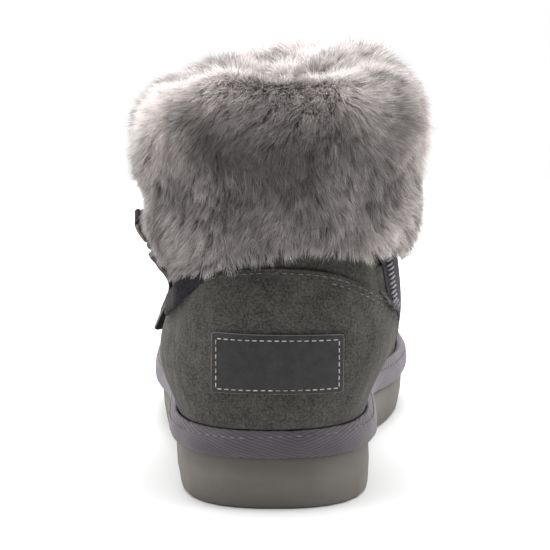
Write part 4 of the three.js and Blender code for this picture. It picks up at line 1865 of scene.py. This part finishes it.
@dataclass(frozen=True)
class GroundShape:
    """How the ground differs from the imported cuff.

    By turn in degrees from the heel over the inner side, it tells the millimetres that the
    crown and the hem move up, that the belly moves out, and that the inside of the rim comes
    in over the opening.
    """

    turn: tuple = (0, 10, 25, 45, 60, 74, 90, 135, 165, 180, 200, 225, 270, 315, 340, 360)
    crown: tuple = (3.4, 3.0, 5.0, 3.0, 1.5, 1.5, 2.0, 5.0, 1.0, -3.5, -5.0, -6.0, -9.0, -5.0, 4.4, 3.4)
    hem: tuple = (7.5, 7.0, 7.0, 6.0, 5.0, 13.0, 14.0, 10.0, 6.0, 6.0, 6.0, 6.0, 4.5, 2.5, 8.0, 7.5)
    belly: tuple = (-0.5, -0.5, -2.0, -3.5, -4.0, -4.5, -5.0, -2.5, -0.5, 0.0, -0.5, -2.0, -3.5, -3.5,
                    -1.5, -0.5)
    shelf: tuple = (5.0, 5.0, 6.0, 8.0, 10.0, 12.0, 14.0, 21.0, 26.0, 27.0, 26.0, 21.0, 15.0, 8.0, 6.0,
                    5.0)

    def along(self, turn: np.ndarray, change: Sequence[float]) -> np.ndarray:
        """One of its changes, in metres, at turns in degrees."""
        return np.interp(turn % 360, self.turn, change) * MM


@dataclass(frozen=True)
class FleeceLightAndTonePatch:
    """A patch of the fleece made lighter or darker: painted light and painted shade where the cuff is lit
    and shaded, with some of the fleece's own tone.
    """

    turn: float
    height: float
    reach: float
    tone: float
    mm_per_degree: float = 0.9

    def change(self, turn: np.ndarray, height: np.ndarray) -> np.ndarray:
        """The change of tone that it brings to each place.

        Args:
            turn: the places' turns in degrees.
            height: their heights in millimetres.

        Returns:
            One change for each place.
        """
        aside = (turn - self.turn + 180) % 360 - 180
        gap = np.hypot(aside * self.mm_per_degree, height - self.height)
        return self.tone * np.exp(-(gap / self.reach) ** 2)


# Painted light and shade on the fleece, with some of its own tone: lighter where the cuff catches the
# light, darker where it lies in shade.
FLEECE_LIGHT_AND_TONE = (
    FleeceLightAndTonePatch(0, 124, 17, -0.3), FleeceLightAndTonePatch(14, 140, 9, -0.16), FleeceLightAndTonePatch(-44, 146, 10, 0.4),
    FleeceLightAndTonePatch(-20, 158, 10, 0.4), FleeceLightAndTonePatch(25, 156, 8, 0.46), FleeceLightAndTonePatch(45, 97, 13, 0.45),
    FleeceLightAndTonePatch(-45, 98, 11, -0.16), FleeceLightAndTonePatch(-75, 122, 16, 0.06), FleeceLightAndTonePatch(80, 124, 17, 0.3),
    FleeceLightAndTonePatch(-26, 118, 8, -0.22), FleeceLightAndTonePatch(-10, 100, 10, 0.1), FleeceLightAndTonePatch(152, 146, 22, 0.34),
    FleeceLightAndTonePatch(2, 157, 7, -0.12), FleeceLightAndTonePatch(-56, 143, 14, 0.4), FleeceLightAndTonePatch(-17, 141, 11, -0.38),
    FleeceLightAndTonePatch(40, 141, 12, -0.24), FleeceLightAndTonePatch(66, 139, 15, 0.32),
)


@dataclass(frozen=True)
class Pile:
    """How one part of the fur grows: its number of hairs, and a hair's length and width."""

    hairs: int
    length: float
    width: float


def around(places: np.ndarray) -> tuple[np.ndarray, np.ndarray, np.ndarray]:
    """Where places lie round the shaft.

    Args:
        places: the places.

    Returns:
        Level directions out from the shaft's axis, turns in degrees from the heel, which are
        positive on the inner side, and heights in millimetres.
    """
    away = places - SHAFT_AXIS
    turn = np.degrees(np.arctan2(away[:, 0], -away[:, 1]))
    return unit(away * LEVEL), turn, in_mm(places)[2]


@dataclass
class FurGround:
    """The skin under the fur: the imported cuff, made smaller, softer and uneven.

    The spans are heights in millimetres, or the share by which the ground faces outwards.
    """

    shape: GroundShape = GroundShape()
    shrink: float = 3.6 * MM
    lump: float = 2.2 * MM
    big_lumps: tuple = (21 * MM, 3.7)
    small_lumps: tuple = (11 * MM, 8.1)
    small_share: float = 0.5
    crown_span: tuple = (112, 160)
    hem_span: tuple = (84, 122)
    belly_span: tuple = (96, 116)
    rim_span: tuple = (147, 150)
    rim_facing: tuple = (0.2, -0.6)
    rim_drop: float = 5 * MM
    open_span: tuple = (144, 151)
    open_facing: tuple = (-0.1, 0.35)

    def build(self) -> bpy.types.Object:
        """Makes the ground.

        Returns:
            The ground.
        """
        piece = cad_copy("cuff", "cuff_ground")
        refine(piece, 2)
        self._settle(piece)
        # The ground's dark felt is painted shade: it stands for the depth between the hairs.
        piece.data.materials.append(Felt("fur_ground_shaded", shade(80, 75, 77), shade(118, 111, 113)).material())
        hand_over(piece, "fur", "cuff")
        return piece

    def openness(self, places: np.ndarray, normals: np.ndarray) -> np.ndarray:
        """1 where the ground faces the open air, 0 where it lies on the shaft.

        Args:
            places: places on the ground.
            normals: their normals.

        Returns:
            One share for each place.
        """
        out, _, height = around(places)
        facing = (normals * out).sum(1)
        return np.maximum(ease(*self.open_facing, facing), ease(*self.open_span, height))

    def _settle(self, piece: bpy.types.Object) -> None:
        """Draws the ground in under the hair, gives it lumps, and brings it to its shape.

        Args:
            piece: the ground.
        """
        places, normals = corners(piece), outward(piece)
        small = self.small_share * smooth_noise(places, *self.small_lumps)
        lumps = smooth_noise(places, *self.big_lumps) + small
        out, turn, height = around(places)
        crown, hem, belly, shelf = (
            self.shape.along(turn, change)
            for change in (self.shape.crown, self.shape.hem, self.shape.belly, self.shape.shelf))
        facing = self.openness(places, normals)
        places = places + normals * (lumps * self.lump - self.shrink * facing)[:, None]
        rim = ease(*self.rim_facing, (normals * out).sum(1)) * ease(*self.rim_span, height)
        places = places - (out * shelf[:, None] + UP * self.rim_drop) * rim[:, None]
        places = places + out * (belly * ease(*self.belly_span, height) * facing)[:, None]
        places[:, 2] += ease(*self.crown_span, height) * crown
        places[:, 2] += (1 - ease(*self.hem_span, height)) * hem
        move_corners(piece, places)


@dataclass
class FurCuff:
    """The folded cuff: a soft ground and the hair on it.

    Angles of turn are in degrees from the heel and heights in millimetres. A value with
    _wander is the spread of a random draw.
    """

    seed: int = 11
    ground: FurGround = field(default_factory=FurGround)
    heel_turn: float = 48.0
    side_turn: float = 125.0
    least_open: float = 0.02
    crest: tuple = (124, 132, 150, 160)
    crest_share: float = 0.6
    lining_facing: float = -0.5
    lining_span: tuple = (84, 108)
    lining_reach: float = 70 * MM
    lining_crown: tuple = (100, 150)
    crown_facing: tuple = (0.45, 0.95)
    crown_span: tuple = (120, 140)
    inner_facing: tuple = (-0.45, -0.85)
    lean_aside: float = 0.35
    lean_out: float = 0.8
    lean_in: float = 0.4
    clump_hairs: int = 30
    swirl: tuple = (19 * MM, 5.2)
    swirl_share: float = 1.7
    swirl_wander: float = 0.25
    angle_wander: float = 0.3
    clump_size_wander: float = 0.08
    hair_size_span: tuple = (0.72, 1.06)
    fringe_span: tuple = (88, 106)
    fringe_shorter: float = 0.3
    part: tuple = (12 * MM, 2.9)
    part_share: float = 22.0
    part_wander: float = 6.0
    rise_wander: float = 11.0
    lie: tuple = (30.0, 62.0)
    standing_span: tuple = (110, 146)
    standing_share: float = 0.45
    laid_share: float = 0.12
    pull: float = 0.34
    pull_along: tuple = (0.0, 0.45, 1.0)
    pull_less: float = 0.7
    upright_span: tuple = (124, 136)
    upright_share: float = 0.8
    sag: float = 0.08
    tone: float = 0.42
    broad_tone: tuple = (15 * MM, 1.3)
    broad_share: float = 0.3
    clump_tone_wander: float = 0.12
    hair_tone_wander: float = 0.15
    crown_darker: float = 0.04
    fringe_lighter: float = 0.06
    # Painted light on the crown: above these heights the hairs' roots start further up the map, so they are
    # lighter.
    crown_light_span: tuple = (122, 140)
    crown_light_share: float = 0.42
    blade_roll_wander: float = 0.5
    blade_width_span: tuple = (0.75, 1.25)
    blade_waist: float = 0.8
    soft_normal: tuple = (0.8, 0.3, 0.15)
    map_margin: float = 0.012
    map_span: tuple = (0.03, 0.97)
    piles: dict = field(default_factory=lambda: {
        FurSide.HEEL_INNER: Pile(56000, 9.6 * MM, 0.23 * MM),
        FurSide.HEEL_OUTER: Pile(56000, 9.6 * MM, 0.23 * MM),
        FurSide.INNER: Pile(46000, 9.4 * MM, 0.32 * MM),
        FurSide.OUTER: Pile(46000, 9.4 * MM, 0.32 * MM),
        FurSide.FRONT: Pile(41000, 8.2 * MM, 0.38 * MM),
        FurSide.LINING: Pile(26000, 16.0 * MM, 0.46 * MM),
    })

    def __post_init__(self) -> None:
        """Starts the random draws."""
        self.draw: np.random.Generator = np.random.default_rng(self.seed)

    def build(self, upper: bpy.types.Object) -> None:
        """Makes the ground, then the hair.

        Args:
            upper: the suede upper, whose inner wall carries the lining's wool.
        """
        ground = self.ground.build()
        wool = Wool("fur").material()
        for side in FurSide:
            if side is not FurSide.LINING:
                self._grow(side, ground, wool)
        # Lighter than the outer fur: painted light inside the opening, where the cuff's inner wall lies in
        # shade.
        lining = Wool("lining_fur_lightened", shade(128, 121, 122), shade(164, 156, 157), shade(222, 214, 213))
        self._grow(FurSide.LINING, upper, lining.material())

    def _grow(self, side: FurSide, ground: bpy.types.Object, wool: bpy.types.Material) -> None:
        """Grows one part of the pile.

        Args:
            side: which part.
            ground: the surface that it grows on.
            wool: its finish.
        """
        pile = self.piles[side]
        roots, normals = self._sow(side, ground, pile.hairs)
        line, tone = self._strands(side, roots, normals, pile)
        # Painted light: hairs high on the crown start further up the map, so their roots read lighter where
        # the crown is lit.
        pale = ease(*self.crown_light_span, in_mm(roots)[2]) * self.crown_light_share
        piece = self._blades("fur_" + side.value, line, tone, pale, normals, pile)
        piece.data.materials.append(wool)
        hand_over(piece, "fur" if side is not FurSide.LINING else "wool_lining")

    def _sow(self, side: FurSide, ground: bpy.types.Object, count: int) -> tuple[np.ndarray, np.ndarray]:
        """Chooses the roots of one part of the pile.

        Args:
            side: which part.
            ground: the surface that it grows on.
            count: how many hairs.

        Returns:
            Places and normals of the roots.
        """
        mesh = ground.data
        mesh.calc_loop_triangles()
        triangles = np.array([triangle.vertices for triangle in mesh.loop_triangles])
        areas = np.array([triangle.area for triangle in mesh.loop_triangles])
        places, normals = corners(ground), outward(ground)
        middle = places[triangles].mean(1)
        facing = unit(normals[triangles].mean(1))
        weight = areas * self._density(side, middle, facing)
        chosen = self.draw.choice(len(triangles), size=count, p=weight / weight.sum())
        mixing = self.draw.dirichlet((1, 1, 1), size=count)
        roots = (places[triangles[chosen]] * mixing[:, :, None]).sum(1)
        return roots, unit((normals[triangles[chosen]] * mixing[:, :, None]).sum(1))

    def _density(self, side: FurSide, places: np.ndarray, normals: np.ndarray) -> np.ndarray:
        """How densely a part of the pile grows at each place.

        Args:
            side: which part.
            places: places on the ground.
            normals: their normals.

        Returns:
            One weight for each place.
        """
        out, turn, height = around(places)
        if side is FurSide.LINING:
            inward = (normals * out).sum(1) < self.lining_facing
            near = np.abs(places[:, 1] - SHAFT_AXIS[1]) < self.lining_reach
            return (inward & near) * ease(*self.lining_span, height)
        sector = {
            FurSide.HEEL_INNER: (turn > 0) & (turn <= self.heel_turn),
            FurSide.HEEL_OUTER: (turn <= 0) & (turn >= -self.heel_turn),
            FurSide.INNER: (turn > self.heel_turn) & (turn <= self.side_turn),
            FurSide.OUTER: (turn < -self.heel_turn) & (turn >= -self.side_turn),
            FurSide.FRONT: np.abs(turn) > self.side_turn,
        }[side]
        is_open = self.ground.openness(places, normals) > self.least_open
        return sector * is_open * (1 + self.crest_share * band(height, self.crest))

    def _flow(self, side: FurSide, roots: np.ndarray, normals: np.ndarray) -> tuple[np.ndarray, np.ndarray]:
        """Which way the hair leans, and where it grows on the crown.

        Args:
            side: which part of the pile.
            roots: places of the roots.
            normals: their normals.

        Returns:
            Lean directions along the ground, and a share that is 1 on the crown.
        """
        out, turn, height = around(roots)
        aside = np.stack([-out[:, 1], out[:, 0], np.zeros(len(out))], 1)
        crown = ease(*self.crown_facing, normals[:, 2]) * ease(*self.crown_span, height)
        inner = ease(*self.inner_facing, (normals * out).sum(1))
        down = aside * (np.sin(np.radians(turn)) * self.lean_aside)[:, None] - UP
        lean = down + out * (self.lean_out * crown)[:, None]
        lean = lean * (1 - inner)[:, None] + (UP - out * self.lean_in) * inner[:, None]
        if side is FurSide.LINING:
            lean = np.tile(UP, (len(roots), 1))
            crown = ease(*self.lining_crown, height)
        lean = lean - normals * (lean * normals).sum(1)[:, None]
        return unit(lean), crown

    def _clumps(self, roots: np.ndarray) -> tuple[np.ndarray, np.ndarray]:
        """Chooses the hairs that lead a clump.

        Args:
            roots: places of the roots.

        Returns:
            The numbers of the leading hairs, and which of them each hair follows.
        """
        count = len(roots)
        leaders = self.draw.choice(count, size=count // self.clump_hairs, replace=False)
        tree = KDTree(len(leaders))
        for index, leader in enumerate(leaders):
            tree.insert(roots[leader], index)
        tree.balance()
        return leaders, np.array([tree.find(root)[1] for root in roots])

    def _strands(self, side: FurSide, roots: np.ndarray, normals: np.ndarray,
                 pile: Pile) -> tuple[np.ndarray, np.ndarray]:
        """The lines of the hairs, drawn together in clumps.

        Args:
            side: which part of the pile.
            roots: places of the roots.
            normals: their normals.
            pile: its sizes.

        Returns:
            Three points of each hair, and each hair's tone.
        """
        count = len(roots)
        leaders, owner = self._clumps(roots)
        heads = roots[leaders]
        lean, crown = self._flow(side, roots, normals)
        height = in_mm(roots)[2]
        swirl = smooth_noise(heads, *self.swirl) * self.swirl_share
        swirl = swirl + self.draw.normal(0, self.swirl_wander, len(leaders))
        angle = swirl[owner] + self.draw.normal(0, self.angle_wander, count)
        across = np.cross(normals, lean)
        lean = lean * np.cos(angle)[:, None] + across * np.sin(angle)[:, None]
        clump_size = 1 + self.draw.normal(0, self.clump_size_wander, len(leaders))
        size = clump_size[owner] * self.draw.uniform(*self.hair_size_span, count)
        fringe = 1 - ease(*self.fringe_span, height)
        length = pile.length * size * (1 - self.fringe_shorter * fringe)
        part = smooth_noise(heads, *self.part) * self.part_share
        part = part + self.draw.normal(0, self.part_wander, len(leaders))
        rise = part[owner] + self.draw.normal(0, self.rise_wander, count)
        laid = np.zeros(count) if side is FurSide.LINING else crown
        standing = ease(*self.standing_span, height) * (1 - laid)
        flatter = 1 - self.standing_share * standing + self.laid_share * laid
        points = [roots]
        for lie in self.lie:
            tilt = np.radians(lie * flatter + rise)
            step = normals * np.cos(tilt)[:, None] + lean * np.sin(tilt)[:, None]
            points.append(points[-1] + step * (length / 2)[:, None])
        line = np.stack(points, 1)
        upright = np.maximum(crown, self.upright_share * ease(*self.upright_span, height))
        pull = self.pull * (1 - self.pull_less * upright)
        shift = (line[leaders][owner] - line) * np.array(self.pull_along)[None, :, None]
        line = line + shift * pull[:, None, None]
        line[:, 2, 2] -= length * self.sag * (1 - crown)
        shading = self.fringe_lighter * fringe - self.crown_darker * crown
        # The patches add painted light and painted shade to each hair's tone.
        return line, self._tones(heads, owner) + shading + self._painted_light_and_tone(roots)

    def _tones(self, heads: np.ndarray, owner: np.ndarray) -> np.ndarray:
        """How light each hair is: alike in a clump, and drifting over the fleece.

        Args:
            heads: roots of the leading hairs.
            owner: which of them each hair follows.

        Returns:
            Each hair's tone, before the patches of painted light and shade.
        """
        broad = self.broad_share * smooth_noise(heads, *self.broad_tone)
        clump = self.draw.normal(0, self.clump_tone_wander, len(heads)) + broad
        return self.tone + clump[owner] + self.draw.normal(0, self.hair_tone_wander, len(owner))

    @staticmethod
    def _painted_light_and_tone(roots: np.ndarray) -> np.ndarray:
        """How much the fleece is painted lighter or darker at each place: painted light and shade, with
        some of its own tone.
        """
        _, turn, height = around(roots)
        return sum(patch.change(turn, height) for patch in FLEECE_LIGHT_AND_TONE)

    def _blades(self, name: str, line: np.ndarray, tone: np.ndarray, pale: np.ndarray,
                normals: np.ndarray, pile: Pile) -> bpy.types.Object:
        """Turns hairs into one mesh of narrow tapering blades.

        Args:
            name: the piece's name.
            line: three points of each hair.
            tone: light or dark of each hair.
            pale: how far up the map each hair's root starts, painted light that makes the roots lighter on
                the crown.
            normals: the ground's normals under the hairs.
            pile: its sizes.

        Returns:
            The piece, with its map and soft normals.
        """
        count = len(line)
        chord = unit(line[:, 2] - line[:, 0])
        flat = unit(np.cross(normals, chord))
        stand = np.cross(chord, flat)
        roll = self.draw.normal(0, self.blade_roll_wander, count)
        broad = flat * np.cos(roll)[:, None] + stand * np.sin(roll)[:, None]
        half = ((pile.width / 2) * self.draw.uniform(*self.blade_width_span, count))[:, None]
        foot, waist = broad * half, broad * half * self.blade_waist
        rows = [line[:, 0] - foot, line[:, 0] + foot, line[:, 1] - waist, line[:, 1] + waist, line[:, 2]]
        mesh, loops = self._blade_mesh(name, np.stack(rows, 1).reshape(-1, 3))
        self._map(mesh, loops, tone, pale)
        ground_share, own_share, tip_share = self.soft_normal
        own = np.cross(chord, broad)
        soft = unit(normals * ground_share + own * own_share + chord * tip_share)
        each_corner = np.repeat(soft, BLADE_CORNERS, axis=0).astype(np.float32)
        mesh.normals_split_custom_set_from_vertices(each_corner)
        piece = bpy.data.objects.new(name, mesh)
        bpy.context.scene.collection.objects.link(piece)
        return piece

    @staticmethod
    def _blade_mesh(name: str, places: np.ndarray) -> tuple[bpy.types.Mesh, np.ndarray]:
        """A mesh of blades: a four-sided foot and a three-sided tip each.

        Args:
            name: its name.
            places: the five corners of each blade.

        Returns:
            The mesh, and the corners of its faces in order.
        """
        count = len(places) // BLADE_CORNERS
        start = (np.arange(count) * BLADE_CORNERS)[:, None]
        quads = start + np.array([[0, 2, 3, 1]])
        tips = start + np.array([[2, 4, 3]])
        mesh = bpy.data.meshes.new(name)
        mesh.vertices.add(len(places))
        mesh.vertices.foreach_set("co", places.astype(np.float32).ravel())
        loops = np.concatenate([quads.ravel(), tips.ravel()]).astype(np.int32)
        mesh.loops.add(len(loops))
        mesh.loops.foreach_set("vertex_index", loops)
        begin = np.concatenate([np.arange(count) * 4, count * 4 + np.arange(count) * 3])
        mesh.polygons.add(len(begin))
        mesh.polygons.foreach_set("loop_start", begin.astype(np.int32))
        mesh.polygons.foreach_set("use_smooth", np.ones(len(begin), bool))
        mesh.update(calc_edges=True)
        return mesh, loops

    def _map(self, mesh: bpy.types.Mesh, loops: np.ndarray, tone: np.ndarray, pale: np.ndarray) -> None:
        """Lays the blades out by tone across and by root to tip up.

        Args:
            mesh: the blades.
            loops: the corners of its faces in order.
            tone: light or dark of each hair.
            pale: how far up the map each hair's root starts, painted light that makes the roots lighter on
                the crown.
        """
        sides = np.array([-1, 1, -1, 1, 0]) * self.map_margin
        heights = np.array([0.0, 0.0, 0.5, 0.5, 1.0])
        across = np.clip(tone, *self.map_span)[:, None] + sides
        up = pale[:, None] + (1 - pale[:, None]) * heights
        table = np.stack([across.ravel(), up.ravel()], 1)
        layer = mesh.uv_layers.new(name=FUR_MAP)
        layer.data.foreach_set("uv", table[loops].astype(np.float32).ravel())


# ------------------------ the boot


def main() -> None:
    """Builds the boot, sub-assembly by sub-assembly."""
    logging.basicConfig(level=logging.INFO, format="%(name)s %(message)s")
    Studio().build()
    tie_suede = SuedeBow().build()
    suede = Suede("suede").material()
    thread = Thread().material()
    # The label's cut edge is paler partly as a painted highlight along its rim.
    label_edge_and_highlight = CutEdge("label_edge_and_highlight", shade(112, 108, 110)).material()
    label_thread = Thread("label_thread", shade(112, 108, 105), shade(188, 182, 178)).material()
    upper = Upper().build(suede)
    counter = HeelCounter().build(suede, thread)
    shaft = Skin(upper, counter)
    HeelLabel().build(LabelLeather().material(), label_edge_and_highlight, label_thread)
    Rand().build(RandBinding().material(), thread, shaft)
    Outsole().build(SoleFoam().material())
    Insole().build()
    SideZip().build(shaft, suede)
    TieStrap().build(shaft, tie_suede)
    FurCuff().build(upper)


if __name__ == "__main__":
    main()
